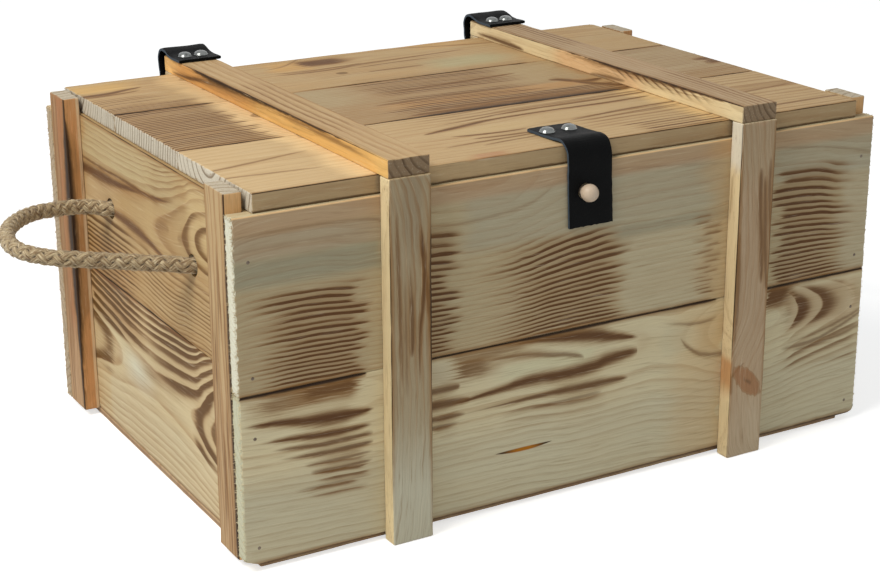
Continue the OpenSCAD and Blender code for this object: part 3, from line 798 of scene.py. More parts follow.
WOOD["lid_board_front"] = dict(
    TOP, seed=13, ring=9, tighten=0.006, late_show=0.34, pale=srgb(196, 170, 128),
    pale2=srgb(192, 160, 116), side=srgb(200, 172, 130), end_pale=srgb(206, 198, 180),
    end_dark=srgb(122, 104, 82),
    heart=[(-236, -101), (-160, -99), (-60, -102), (20, -96), (120, -94), (236, -96)],
    depth=[(-236, 10), (-180, 14), (-100, 12), (-40, 9), (40, 9), (120, 12), (236, 14)],
    flames=[(30, 120, 30, 10, -140, -104, 8, 8, 0.4), (56, 122, 20, 8, -168, -140, 8, 1, 0.75),
        (-60, 118, 60, 10, -70, -51, 8, 1, 0.45), (160, 236, 6, 2, -168, -54, 4, 2, 0.3),
        (-236, 236, 1, 1, -168, -50, 1, 1, 0.1)],
    strokes=[
        (0.9, (-80, -96, 0), (-62, -91.5, 1.4), (-40, -86.5, 1.9), (-14, -81.5, 1.1), (30, -79.5, 1),
            (80, -80, 1.2), (118, -78, 0)),
        (0.7, (-66, -79, 0), (-30, -75, 0.7), (20, -69.5, 1), (70, -69, 1.1), (119, -66, 0.7)),
        (0.5, (-60, -72, 0), (0, -66, 0.7), (60, -63.5, 0.8), (119, -61, 0.6)),
        (0.8, (-66, -109, 0), (-44, -113, 1), (-22, -115, 0.9), (-8, -114, 0)),
        (0.7, (-56, -121, 0), (-36, -123, 1), (-14, -124, 0.8), (0, -123, 0)),
        (0.6, (-86, -133, 0), (-54, -130, 0.9), (-22, -129, 0.9), (-6, -128, 0)),
        (0.6, (-60, -139, 0), (-34, -136, 0.8), (-10, -135, 0)),
        (0.75, (22, -112, 0), (52, -107, 0.9), (84, -103, 1.1), (119, -101.5, 0.8)),
        (0.5, (36, -118, 0), (70, -113, 0.8), (119, -109, 0.6)),
        (0.5, (-234, -107, 0.8), (-206, -101, 1), (-176, -94, 0.7), (-158, -90, 0)),
        (0.45, (-234, -127, 0.7), (-204, -129.5, 0.9), (-170, -133, 0)),
        (0.55, (152, -150, 0.6), (186, -147, 1.2), (232, -146, 0.9)),
        (0.45, (152, -108, 0.5), (186, -104, 0.9), (232, -98, 0.7))],
    # a dark line along the bottom of the lid's front edge: a painted shadow where the lid sits on the wall
    side_edges=[(11, 12.6, 0.75, srgb(62, 44, 28))],
    tints=[(-80, -50, 16, 16, -168, -156, 8, 1, 0.6, RED_LATE),
        (-236, -150, 2, 6, -168, -51, 2, 2, 0.4, srgb(220, 192, 146)),
        (-166, -148, 14, 2, -168, -51, 2, 2, 0.75, srgb(240, 208, 156)),
        (106, 124, 12, 2, -160, -51, 10, 2, 0.65, srgb(236, 200, 140)),
        (-60, 10, 20, 20, -112, -94, 6, 6, 0.25, srgb(214, 190, 140))],
    burns=[
        (-51, [(-236, 0.6), (-165, 0.6), (-155, 0), (-60, 0.6), (0, 1.8), (80, 1.6), (118, 0.8), (124, 0),
            (190, 0.5), (236, 0.4)]),
        (-165.5, [(-236, 0.8), (-160, 0.9), (-120, 0.3), (0, 0.6), (80, 0.8), (236, 0.7)])])
WOOD["lid_board_middle"] = dict(
    TOP, seed=17, ring=4.2, tighten=0, late_show=0.55, late_start=0.3, streak_full=0.66,
    pale=srgb(172, 148, 112), pale2=srgb(164, 134, 94), end_pale=srgb(200, 192, 174),
    end_dark=srgb(118, 100, 80), heart=[(-236, 150), (-60, 158), (100, 150), (236, 156)],
    depth=[(-236, 24), (236, 24)],
    flames=[(-240, -166, 2, 14, -55, 66, 2, 2, 0.75), (-60, 119, 70, 14, -55, -24, 2, 10, 1),
        (-56, 60, 40, 50, -30, 6, 4, 10, 0.75), (-50, 70, 40, 50, 14, 60, 12, 8, 0.72),
        (155, 240, 6, 2, -55, 66, 2, 2, 0.3), (-236, 236, 1, 1, -52, 64, 1, 1, 0.2)],
    strokes=[
        (0.9, (82, 2, 0), (88, 0, 2.4), (97, -8, 5), (104, -14, 3.6), (111, -14, 3.2), (118, -13, 2),
            (121, -13, 0)),
        (0.85, (96, -12, 0), (104, -22, 4.4), (112, -30, 4.2), (122, -39, 3)),
        (0.8, (-52, 26, 0), (-20, 28, 0.9), (16, 30, 1.4), (50, 33, 1.2), (76, 36, 0)),
        (0.6, (-70, -6, 0), (-40, -4, 1), (0, -3, 1.1), (40, -2, 0)),
        (0.9, (-64, -43, 0), (-30, -44, 1.6), (20, -43, 2.4), (70, -43.5, 2), (119, -46, 1.2)),
        (0.8, (-50, -35, 0), (-10, -36, 1.2), (40, -34.5, 1.5), (90, -38, 0))],
    chars=[(222, 240, 8, 2, -14, 10, 10, 10, 0.8)],
    tints=[(-60, 104, 40, 20, -24, -6, 6, 6, 0.5, srgb(200, 148, 90)),
        (-121, -66, 6, 40, 6, 62, 24, 12, 0.42, srgb(186, 176, 142)),
        (60, 121, 40, 6, -2, 62, 24, 12, 0.45, srgb(190, 172, 132)),
        (-168, -148, 16, 2, -51, 64, 4, 4, 0.9, srgb(240, 206, 154)),
        (100, 124, 14, 2, -51, -6, 4, 12, 0.3, srgb(222, 186, 130)),
        (150, 240, 2, 2, -24, 60, 20, 8, 0.35, srgb(190, 176, 144))],
    burns=[
        (-51, [(-236, 2), (-165, 2), (-155, 0), (-110, 0.8), (-60, 4), (0, 9), (80, 9), (112, 5), (123, 0),
            (190, 1.6), (236, 1.2)]),
        (63.5, [(-236, 2.4), (-166, 2.2), (-157, 0), (-95, 0.4), (-60, 1.2), (-20, 1.8), (50, 2), (80, 1),
            (108, 1.4), (114, 0.1), (190, 1.8), (228, 1.8), (236, 1)])])
WOOD["lid_board_back"] = dict(
    TOP, seed=19, ring=8, tighten=0.01, late_show=0.36, pale=srgb(188, 164, 124), pale2=srgb(190, 154, 106),
    end_pale=srgb(196, 188, 170), end_dark=srgb(118, 100, 80),
    heart=[(-236, 146), (-190, 152), (-100, 142), (-30, 146), (60, 150), (140, 150), (236, 140)],
    depth=[(-236, 10), (-190, 12), (-100, 9), (-30, 12), (60, 14), (140, 12), (236, 14)],
    flames=[(-240, -168, 2, 24, 62, 84, 1, 8, 0.85), (-240, -186, 2, 40, 84, 114, 6, 6, 0.6),
        (-60, 110, 60, 20, 62, 76, 1, 6, 0.35), (-70, 70, 30, 40, 92, 128, 8, 8, 0.3),
        (-236, 236, 1, 1, 62, 170, 1, 1, 0.14)],
    strokes=[(0.85, (-236, 127, 2.4), (-218, 128, 2.6), (-202, 133, 1.8), (-184, 138, 0)),
        (0.6, (-236, 121, 1), (-214, 123, 1.2), (-190, 128, 0)),
        (0.6, (-86, 121, 0), (-66, 118, 1), (-44, 118, 1.3), (-14, 124, 1.3), (20, 127, 1), (60, 130, 0.8),
            (90, 134, 0)),
        (0.5, (-84, 127, 0), (-60, 123, 1), (-36, 124, 1), (-6, 130, 0)),
        (0.45, (-20, 114, 0), (14, 117, 1), (50, 118, 0)),
        (0.5, (-20, 97, 0), (6, 97, 1.3), (30, 96, 0)),
        (0.4, (-90, 141, 0), (-70, 146, 0.8), (-56, 156, 1), (-46, 166, 0.8)),
        (0.4, (40, 164, 0), (70, 155, 0.9), (104, 147, 0.9), (119, 144, 0.6))],
    chars=[(-52, -14, 12, 24, 136, 158, 14, 14, 0.9)],
    tints=[(-236, -190, 4, 30, 134, 160, 14, 14, 0.65, srgb(222, 180, 110)),
        (-80, -50, 18, 14, 128, 160, 16, 16, 0.6, AMBER), (56, 108, 20, 20, 146, 168, 6, 2, 0.4, AMBER),
        (34, 98, 34, 34, 78, 110, 18, 18, 0.55, srgb(180, 180, 142)),
        (-166, -148, 16, 2, 64, 168, 4, 4, 0.7, srgb(234, 200, 148))],
    burns=[
        (63.5, [(-236, 3.4), (-166, 3), (-157, 0), (-60, 0.9), (0, 1.6), (50, 1.6), (100, 0.8), (112, 0),
            (150, 0), (190, 1.2), (236, 0.8)])],
    knots=[(-38, 103, 5, 3.8, 0, srgb(112, 84, 48))])
WOOD["front_batten_left"] = dict(
    FRONT_BATTEN, seed=41, ring=5.2, late_show=0.26, pale=srgb(178, 164, 136), pale2=srgb(166, 146, 112),
    side=srgb(244, 222, 174), heart=[(0, -205), (120, -198), (246, -208)], depth=[(0, 12), (246, 12)],
    flames=[(112, 250, 60, 2, -152, -120, 1, 1, 0.26)],
    strokes=[(0.9, (150, -121.5, 1.2), (172, -124.5, 1.3), (196, -127.5, 1), (220, -129, 0)),
        (0.8, (104, -130.5, 0), (140, -130, 0.8), (164, -127.5, 1), (190, -126, 0.6), (214, -124, 0)),
        (0.7, (128, -136, 0), (150, -135.5, 1.2), (170, -136, 0.8), (196, -137, 0)),
        (0.55, (108, -143, 0), (150, -144, 0.8), (190, -145, 0.8), (226, -146, 0)),
        (0.45, (96, -139.5, 0), (136, -140, 0.6), (186, -140.5, 0))],
    tints=[(-5, 66, 5, 60, -152, -120, 1, 1, 0.75, srgb(206, 204, 182)),
        (200, 250, 30, 2, -142, -128, 6, 6, 0.35, srgb(140, 128, 108))],
    burns=[
        (-121.25, [(0, 0.3), (40, 0.6), (100, 1.2), (140, 2.2), (175, 2.6), (200, 1.8), (225, 0.6),
            (246, 0.4)]),
        (-150.75, [(0, 0.1), (80, 0.6), (150, 1.2), (205, 0.6), (246, 0.3)])],
    end_pale=srgb(190, 168, 130))
WOOD["front_batten_right"] = dict(
    FRONT_BATTEN, seed=43, ring=5.6, late_show=0.24, pale=srgb(196, 174, 144), pale2=srgb(184, 154, 122),
    side=srgb(248, 224, 176), heart=[(0, 60), (60, 48), (120, 64), (246, 58)], depth=[(0, 10), (246, 10)],
    flames=[(90, 250, 60, 2, 120, 152, 1, 1, 0.14)],
    strokes=[(0.6, (128, 144, 0), (160, 142.5, 1.4), (186, 140, 1.4), (214, 139, 0)),
        (0.55, (120, 150, 0), (150, 146.5, 1.2), (180, 144.5, 1.2), (208, 143, 0)),
        (0.5, (170, 150, 0.8), (196, 147.5, 1), (222, 147, 0)),
        (0.5, (100, 123.5, 0.6), (130, 123.5, 1.4), (156, 122.5, 1)),
        (0.5, (62, 122, 0.6), (68, 127, 0.8), (72, 133, 0))],
    tints=[(206, 250, 30, 2, 120, 152, 1, 1, 0.32, srgb(166, 152, 122)),
        (-5, 40, 5, 40, 120, 152, 1, 1, 0.4, srgb(206, 192, 164))],
    side_tints=[(214, 252, 12, 2, 0.75, CHIP), (52, 76, 14, 10, 0.75, srgb(206, 138, 76))],
    burns=[(121.25, [(0, 0.3), (80, 0.5), (140, 1.2), (200, 0.8), (246, 0.4)]),
        (150.75, [(0, 0.3), (120, 0.8), (180, 1.2), (246, 0.4)])],
    knots=[(57, 136, 17, 7.5, -0.78, srgb(166, 118, 80))], swirls=[(57, 136, 34, 22, 1.2)],
    end_pale=srgb(206, 190, 156))
WOOD["back_batten_left"] = dict(
    BACK_BATTEN, seed=47, ring=5.4, pale=srgb(188, 168, 134), pale2=GREY_TAN, heart=[(0, -80), (246, -88)],
    flames=[(40, 230, 40, 30, -152, -120, 1, 1, 0.42)],
    burns=[(-121.25, [(0, 0.3), (120, 1.6), (246, 0.4)]), (-150.75, [(0, 0.4), (140, 1.2), (246, 0.3)])])
WOOD["back_batten_right"] = dict(
    BACK_BATTEN, seed=53, ring=5, pale=srgb(186, 164, 130), pale2=srgb(180, 152, 118),
    heart=[(0, 196), (246, 190)], flames=[(60, 246, 40, 10, 120, 152, 1, 1, 0.42)],
    burns=[(121.25, [(0, 0.6), (100, 1.8), (246, 0.4)]), (150.75, [(0, 0.3), (160, 1), (246, 0.3)])])
WOOD["lid_batten_left"] = dict(
    LID_BATTEN, seed=59, ring=5.2, sway=8, late_show=0.36, pale=srgb(196, 168, 124),
    pale2=srgb(184, 152, 112), side=srgb(250, 196, 120), end_pale=srgb(140, 118, 92),
    end_dark=srgb(84, 64, 46), heart=[(-180, -108), (0, -112), (181, -106)],
    depth=[(-180, 14), (0, 18), (181, 14)],
    flames=[(-180, 181, 2, 2, -152, -120, 1, 1, 0.16), (-110, 60, 60, 50, -152, -120, 1, 1, 0.36)],
    burns=[(-150.75, [(-180, 0.3), (-100, 0.7), (-60, 1), (0, 1.2), (60, 1.2), (120, 0.6), (181, 0.3)]),
        (-121.25, [(-180, 0.2), (-40, 0.4), (40, 0.9), (120, 0.3), (181, 0.2)])],
    side_burn=[(-180, -2), (-130, -0.6), (-100, 1.8), (-60, 2), (-20, 2.2), (20, 3.4), (58, 4.6), (84, 4.6),
        (110, 3), (130, 0.8), (150, -1), (181, -2)],
    side_lines=[(0.8, (20, 3, 0), (70, 3.6, 0.8), (104, 5.4, 1), (140, 9, 0.8), (168, 10, 0)),
        (0.5, (-150, 4.6, 0), (-90, 3.4, 0.7), (-20, 3, 0))],
    side_tints=[(-180, 40, 10, 60, 0.35, srgb(250, 206, 120)), (20, 150, 40, 20, 0.35, srgb(206, 130, 62))])
WOOD["lid_batten_right"] = dict(
    LID_BATTEN, seed=61, ring=4.2, sway=6, late_start=0.34, pale=srgb(186, 162, 128),
    pale2=srgb(174, 146, 114), side=srgb(255, 232, 184), end_pale=srgb(146, 124, 98),
    end_dark=srgb(96, 76, 56), heart=[(-180, 172), (0, 176), (181, 170)], depth=[(-180, 16), (181, 16)],
    flames=[(-180, -60, 2, 40, 120, 152, 1, 1, 0.4), (50, 181, 40, 2, 120, 152, 1, 1, 0.48),
        (-180, 181, 2, 2, 120, 152, 1, 1, 0.16)],
    burns=[(121.25, [(-180, 0.8), (-130, 1.8), (-60, 1.8), (-20, 1.2), (30, 0.8), (100, 0.6), (181, 0.4)]),
        (150.75, [(-180, 0.3), (181, 0.3)])],
    side_burn=[(-180, -1), (-150, 0.8), (-110, 2), (-60, 2.6), (-20, 2.4), (20, 1.4), (60, 0.2), (90, -1),
        (181, -2)],
    fan=(-136, -30, 2.6, 11.5, 8.5),
    side_lines=[(0.8, (96, 10.4, 0), (118, 9.4, 1), (150, 8.6, 0.8), (172, 8.4, 0)),
        (0.6, (-44, 8.6, 0), (-20, 9.8, 0.8), (4, 11, 0))],
    side_tints=[(-180, 100, 20, 60, 0.3, srgb(255, 232, 176)),
        (-60, 50, 30, 30, 0.45, srgb(248, 176, 112))])

# The corner battens: where each one stands, the way into it, and its seed
CORNERS = {"front_left": (-WALL_END, 1, 67), "front_right": (WALL_END, -1, 71),
           "back_left": (-WALL_END, 1, 73), "back_right": (WALL_END, -1, 79)}
CORNER = dict(u="z", v="y", ring=7, tighten=0, sway=7, ripple=2.4, late_show=0.62, streak_start=0.4,
              depth=[(0, 10), (246, 12)], grain=0.9,
              end_pale=srgb(190, 178, 156), end_dark=srgb(140, 120, 96))
CORNER_FRONT = dict(
    CORNER, heart=[(0, -205), (246, -198)],
    pale=srgb(196, 172, 128), pale2=srgb(180, 150, 112), side=srgb(250, 200, 140),
    burns=[(-157.5, [(5, 5), (60, 4.6), (110, 4.4), (160, 3.8), (220, 2.8), (246, 1.8)]),
           (-128, [(5, 0.5), (120, 0.7), (180, 1.2), (246, 1)])],
    flames=[(0, 250, 2, 2, -158, -127, 1, 1, 0.22), (0, 120, 2, 80, -158, -127, 1, 1, 0.34)],
    tints=[(-5, 110, 5, 80, -160, -126, 1, 1, 0.25, srgb(166, 122, 92))])
CORNER_BACK = dict(
    CORNER, heart=[(0, 205), (246, 198)],
    pale=srgb(160, 126, 87), pale2=srgb(154, 110, 73), side=srgb(224, 164, 108), burn_core=0.35,
    burns=[(128, [(5, 3), (50, 5), (80, 8), (110, 10.5), (150, 12.5), (205, 9), (225, 5), (246, 2)]),
           (157.5, [(5, 0.6), (120, 0.8), (246, 0.4)])],
    side_burn=[(5, 0.8), (50, 1.8), (80, 4), (110, 5), (150, 6.5), (205, 5), (225, 2), (246, 0.4)],
    side_edges=[(9.2, 12.6, 0.85, srgb(244, 214, 172))],
    flames=[(40, 246, 40, 10, 127, 158, 1, 1, 0.4)],
    tints=[(60, 250, 40, 10, 127, 146, 2, 8, 0.55, srgb(170, 104, 64)),
           (-5, 70, 5, 40, 126, 160, 2, 2, 0.45, srgb(206, 172, 134))])
for corner, (face, inward, seed) in CORNERS.items():
    at_front = corner.startswith("front")
    strokes = loose_strokes(seed, 16, 10, 235, -153, -129, 0.55, 0.85) if at_front \
        else loose_strokes(seed, 8, 10, 235, 144, 156, 0.5, 0.6)
    WOOD["corner_batten_" + corner] = dict(CORNER_FRONT if at_front else CORNER_BACK, seed=seed,
                                           w=("x", face, inward), strokes=strokes)

for level in ("upper", "lower"):
    left = WOOD["left_end_board_" + level]
    WOOD["right_end_board_" + level] = dict(left, w=RIGHT_W, seed=left["seed"] + 80)


# ---------------------------------------------------------------- meshes
def make_piece(name, points, faces, material, slot, body, nodes, smooth=False):
    mesh = bpy.data.meshes.new(name)
    mesh.from_pydata(points, [], faces)
    mesh.validate()
    mesh.update()
    if smooth:
        mesh.shade_smooth()
    mesh.materials.append(material)
    piece = link(bpy.data.objects.new(name, mesh))
    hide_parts(*nodes)
    if body:
        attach(piece, body)
    return piece


def skin(rows):
    """Faces between rings of points, each ring a row of point numbers."""
    return [(low[k], low[(k + 1) % len(low)], high[(k + 1) % len(low)], high[k])
            for low, high in zip(rows, rows[1:]) for k in range(len(low))]


def rings_of(sides, count):
    return [range(i * sides, (i + 1) * sides) for i in range(count)]


def cut(piece, points, faces):
    """Takes a closed shape out of a piece."""
    mesh = bpy.data.meshes.new("cutter")
    mesh.from_pydata(points, [], faces)
    cutter = link(bpy.data.objects.new("cutter", mesh))
    modifier = piece.modifiers.new("cut", "BOOLEAN")
    modifier.operation = "DIFFERENCE"
    modifier.solver = "EXACT"
    modifier.object = cutter
    bpy.context.view_layer.update()
    done = bpy.data.meshes.new_from_object(piece.evaluated_get(bpy.context.evaluated_depsgraph_get()))
    piece.modifiers.clear()
    piece.data = done
    bpy.data.objects.remove(cutter)


def circle_prism(centre, axis, radius, half, sides=40):
    """A round bar for cutting a hole, as points and faces in metres."""
    points = []
    for along in (-half, half):
        for i in range(sides):
            angle = 2 * math.pi * i / sides
            place = list(centre)
            place[axis] += along
            place[(axis + 1) % 3] += radius * math.cos(angle)
            place[(axis + 2) % 3] += radius * math.sin(angle)
            points.append(metres(place))
    low, high = rings_of(sides, 2)
    return points, [tuple(low)[::-1], tuple(high)] + skin([low, high])


ARRIS = 0.9
ARRIS_TURNS = 3
END_STEPS = [0.0, 0.35, 0.9, 2.2, 5.0, 9.0]
MIDDLE_STEP = 11.0
END_INSET = {0: 0.55, 1: 0.16}
CAP_INSET = 1.5


def round_profile(half_a, half_b, pitch):
    """A rectangle with rounded corners: points, and whether each belongs to a corner."""
    profile = []
    turns = ((1, 1, 0), (-1, 1, 90), (-1, -1, 180), (1, -1, 270))

    def on_corner(sa, sb, degrees):
        angle = math.radians(degrees)
        return (sa * (half_a - ARRIS) + ARRIS * math.cos(angle),
                sb * (half_b - ARRIS) + ARRIS * math.sin(angle))

    for i, (sa, sb, start) in enumerate(turns):
        for j in range(ARRIS_TURNS + 1):
            profile.append((on_corner(sa, sb, start + 90 / ARRIS_TURNS * j), True))
        first = profile[-1][0]
        last = on_corner(*turns[(i + 1) % 4][:2], start + 90)
        count = max(1, round(math.hypot(last[0] - first[0], last[1] - first[1]) / pitch))
        for j in range(1, count):
            t = j / count
            place = (first[0] + (last[0] - first[0]) * t, first[1] + (last[1] - first[1]) * t)
            profile.append((place, False))
    return profile


def plank(node, material, slot, body, axis, seed, pitch=7.0, ragged=(0.15, 0.15), tufts=0, shape=None):
    """A sawn length of wood in the place of a node: arrises a little worn and uneven, ends sawn rough."""
    low, high = [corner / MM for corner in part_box(node)]
    chance = random.Random(seed)
    a_axis, b_axis = (axis + 1) % 3, (axis + 2) % 3
    half_a = (high[a_axis] - low[a_axis]) / 2
    half_b = (high[b_axis] - low[b_axis]) / 2
    mid_a = (high[a_axis] + low[a_axis]) / 2
    mid_b = (high[b_axis] + low[b_axis]) / 2
    profile = round_profile(half_a, half_b, pitch)
    count = len(profile)
    start, stop = low[axis], high[axis]
    long = stop - start - 2 * END_STEPS[-1]
    middle = max(2, round(long / MIDDLE_STEP))
    places = [start + d for d in END_STEPS]
    places += [start + END_STEPS[-1] + long * i / middle for i in range(1, middle)]
    places += [stop - d for d in reversed(END_STEPS)]
    points = []

    def put_point(along, a, b):
        place = [0.0, 0.0, 0.0]
        place[axis] = along
        place[a_axis] = mid_a + a
        place[b_axis] = mid_b + b
        if shape:
            shape(place)
        points.append(metres(place))

    for i, along in enumerate(places):
        from_end = min(i, len(places) - 1 - i)
        first_end = i < len(places) / 2
        rough = ragged[0] if first_end else ragged[1]
        for (a, b), corner in profile:
            wear = noise.noise(Vector((along / 14.0, a / 9.0 + seed, b / 9.0))) * 0.28
            wear += max(0.0, noise.noise(Vector((along / 3.1 + seed, a, b))) - 0.42) * 1.6
            pull = END_INSET.get(from_end, 0.0) + (max(-0.05, wear) if corner else 0.0)
            scale_a = (abs(a) - pull) / abs(a) if abs(a) > half_a - 1.2 else 1.0
            scale_b = (abs(b) - pull) / abs(b) if abs(b) > half_b - 1.2 else 1.0
            shift = 0.0
            if from_end <= 1:
                shift = rough * (chance.random() * 1.2 - 0.25)
                shift += rough * noise.noise(Vector((a / 3.0, b / 3.0, seed + i))) * 0.8
                shift = max(shift, -0.1)
            put_point(along + (shift if first_end else -shift), a * scale_a, b * scale_b)
    rings = rings_of(count, len(places))
    faces = skin(rings)
    for along, outer, turn in ((start, rings[0], 1), (stop, rings[-1], -1)):
        cap = range(len(points), len(points) + count)
        for (a, b), _ in profile:
            put_point(along, a * (half_a - CAP_INSET) / half_a, b * (half_b - CAP_INSET) / half_b)
        for k in range(count):
            n = (k + 1) % count
            faces.append((outer[k], cap[k], cap[n], outer[n])[::turn])
        faces.append(tuple(cap)[::-turn])
    # loose saw fibres that stand out round a rough end
    for t in range(tufts):
        sign = -1 if t % 2 == 0 else 1
        along = start if sign < 0 else stop
        a, b = profile[chance.randrange(count)][0]
        a *= 1.0 - chance.random() * 2.4 / max(half_a, 2.4)
        b *= 1.0 - chance.random() * 2.4 / max(half_b, 2.4)
        size = 0.12 + 0.22 * chance.random()
        reach = 0.4 + 1.2 * chance.random() ** 2
        lean = chance.uniform(-0.4, 0.4), chance.uniform(-0.4, 0.4)
        root = len(points)
        for q in range(3):
            angle = q * THIRDS[1] + chance.random()
            put_point(along - sign * 0.25, a + size * math.cos(angle), b + size * math.sin(angle))
        put_point(along + sign * reach, a + lean[0], b + lean[1])
        faces += [(root, root + 1, root + 3), (root + 1, root + 2, root + 3),
                  (root + 2, root, root + 3), (root, root + 2, root + 1)]
    return make_piece(node + "_wood", points, faces, material, slot, body, [node])


# The lowest front board's bottom corners are knocked off: a slant on the left, a round on the right
SLANT_LONG = 9.0
SLANT_RISE = 0.42
ROUND_R = 6.0


def lower_corners(place):
    from_left = place[0] + WALL_END
    from_right = WALL_END - place[0]
    floor = WALL_BOTTOM
    if from_left < SLANT_LONG:
        floor += (SLANT_LONG - from_left) * SLANT_RISE
    if from_right < ROUND_R:
        drop = math.sqrt(max(0.0, ROUND_R ** 2 - (ROUND_R - from_right) ** 2))
        floor = max(floor, WALL_BOTTOM + ROUND_R - drop)
    place[2] = max(place[2], floor)


ROPE_HOLE_Y = 75.0
ROPE_HOLE_Z = 176.75
ROPE_HOLE_R = 7.5
HOLE_HALF = 12.0
BODY_OF = {node: body for body, members in frame["record"]["behaviour"]["bodies"].items()
           for node in members}
# The width of the steps across a piece, the roughness of its two ends and its loose fibres
CUTS = {"front_board": (1.6, (0.9, 0.6), 900), "back_board": (1.6, (0.9, 0.6), 900),
        "lid_board": (3.0, (0.3, 0.3), 60)}
for node, spec in WOOD.items():
    slot = "lid_pine" if node.startswith("lid_") else "wall_pine" if "board" in node else "batten_pine"
    cut_as = next((CUTS[kind] for kind in CUTS if node.startswith(kind)), ())
    shape = lower_corners if node == "front_board_lower" else None
    piece = plank(node, Pine(node + "_pine", spec).material, slot, BODY_OF[node], AXIS[spec["u"]],
                  spec["seed"], *cut_as, shape=shape)
    if "end_board_upper" in node:
        side = -1 if node.startswith("left") else 1
        for y in (-ROPE_HOLE_Y, ROPE_HOLE_Y):
            centre = (side * (END_FACE + END_INNER) / 2, y, ROPE_HOLE_Z)
            cut(piece, *circle_prism(centre, 0, ROPE_HOLE_R, HOLE_HALF))


# ---------------------------------------------------------------- other materials
def plain_material(name):
    """A new material, and x, y and z of the point as fields."""
    material, tree, shader = new_material(name)
    return material, tree, shader, tuple(object_place(tree).values())


def leather_material():
    material, tree, shader, place = plain_material("black_leather")
    pebble = new_node(tree, "TexVoronoi", {"Scale": 1.0, "Vector": vector(*[c / 0.9 for c in place])},
                      feature="SMOOTH_F1")
    pebbles = Field(tree, pebble.outputs["Distance"])
    fine = speckle(place, (0.35, 0.35, 0.35), 3.0)
    broad = speckle(place, (9.0, 9.0, 9.0), 3.0)
    side = step(absolute(coordinates(tree, "Normal")["x"]), 0.5, 0.85)
    colour = blend_colours(broad, srgb(8, 8, 9), srgb(12, 13, 13))
    colour = blend_colours(clamp((pebbles - 0.4) * 0.3), colour, srgb(24, 26, 27))
    colour = blend_colours(side * (fine * 0.5 + 0.6), colour, srgb(74, 84, 94))
    dress(tree, shader, colour, 0.52 + (broad - 0.5) * 0.16 + side * 0.2, pebbles * 0.7 + fine * 0.4,
          0.0004, 0.5, Specular_IOR_Level=0.05)
    return material


def metal_material(name, light, dark, roughness, scratch):
    material, tree, shader, place = plain_material(name)
    spots = speckle(place, (2.2, 2.2, 2.2), 4.0, 0.6)
    lines = speckle(place, (0.25, 2.5, 0.6), 3.0)
    dress(tree, shader, blend_colours(step(spots, 0.42, 0.72), light, dark),
          roughness + (spots - 0.5) * 0.25 + (lines - 0.5) * 0.1, lines, 0.0002, scratch, Metallic=1.0)
    return material


def beech_material():
    material, tree, shader, place = plain_material("peg_beech")
    flecks = speckle(place, (0.5, 3.5, 0.5))
    cloud = speckle(place, (6.0, 9.0, 6.0))
    colour = blend_colours(cloud, srgb(202, 184, 162), srgb(190, 168, 144))
    colour = blend_colours(step(flecks, 0.56, 0.74) * 0.35, colour, srgb(178, 140, 108))
    dress(tree, shader, colour, 0.42 + flecks * 0.12, flecks, 0.0002, 0.3)
    return material


def plywood_material():
    material, tree, shader, (x, y, z) = plain_material("base_plywood")
    wave = grain_noise(vector(x / 80.0, y / 24.0, z * 0.0))
    band = grain_noise(vector(wave * 9.0, y / 160.0, x / 700.0), 3.0)
    fibre = speckle((x, y, z), (20.0, 0.8, 0.8), 3.0)
    edges = step(absolute(coordinates(tree, "Normal")["z"]), 0.8, 0.5)
    dark_layer = step(absolute(floor_of(z / 1.67) - 1.0), 0.6, 0.4)
    colour = blend_colours(step(band, 0.35, 0.65), srgb(196, 168, 128), srgb(172, 138, 98))
    colour = blend_colours(edges * (dark_layer * 0.55 + 0.1), colour, srgb(110, 78, 52))
    colour = blend_colours((fibre - 0.4) * 0.5, colour, srgb(120, 92, 62))
    dress(tree, shader, colour, 0.68 + (fibre - 0.5) * 0.15, fibre, 0.0003, 0.4)
    return material


# fibre_height is how deep a rope point lies, which the rope's material uses for painted shade
FIBRE_FIELDS = ("fibre_along", "fibre_around", "fibre_height")


def jute_material():
    material, tree, shader, place = plain_material("jute_rope")
    along, around, high = [Field(tree, new_node(tree, "Attribute", attribute_name=title).outputs["Fac"])
                           for title in FIBRE_FIELDS]
    fibres = grain_noise(vector(along / 5.0, around / 0.5, high * 0.0), 4.0, 0.7)
    yarn = grain_noise(vector(along / 9.0, around / 1.4, high * 0.0))
    cloud = speckle(place, (14.0, 14.0, 14.0))
    colour = blend_colours(step(yarn, 0.34, 0.66), srgb(194, 174, 136), srgb(126, 98, 66))
    colour = blend_colours(step(fibres, 0.50, 0.66), colour, srgb(234, 220, 186))
    colour = blend_colours(step(fibres, 0.50, 0.34), colour, srgb(74, 52, 32))
    colour = blend_colours(cloud * 0.4, colour, srgb(130, 108, 78))
    # painted shade: darker where the rope lies deep, in the gaps between strands and on the core
    colour = blend_colours(step(high, 0.90, 0.40) * 0.82, colour, srgb(58, 42, 26))
    dress(tree, shader, colour, 0.8, fibres * 0.8 + yarn * 0.4, 0.0005, 0.7,
          Specular_IOR_Level=0.25, Sheen_Weight=0.2, Sheen_Roughness=0.5)
    return material


LEATHER = leather_material()
NICKEL = metal_material("dome_nickel", (0.21, 0.22, 0.215, 1), (0.10, 0.105, 0.10, 1), 0.20, 0.25)
WIRE_STEEL = metal_material("wire_nail_steel", (0.17, 0.14, 0.11, 1), (0.08, 0.055, 0.04, 1), 0.55, 0.4)
BEECH = beech_material()
PLYWOOD = plywood_material()
JUTE = jute_material()


# ---------------------------------------------------------------- ropes
# The route from the end face outwards, along Y and up from the holes, as the part has it
ROPE_ROUTE = [(0, 75, 0), (12, 81, 1.5), (26, 82, 3), (40, 78, 4.5), (54, 71, 6.5), (68, 58, 8.5),
              (81, 41, 10), (92, 19, 11.5), (98, -4, 12), (98, -22, 12), (92, -36, 11.5),
              (80, -46, 10), (64, -52, 8), (46, -57, 5.5), (28, -63, 3), (13, -69, 1.5),
              (0, -75, 0)]
ROPE_D = 11.0
ROPE_HAIRS = 2800
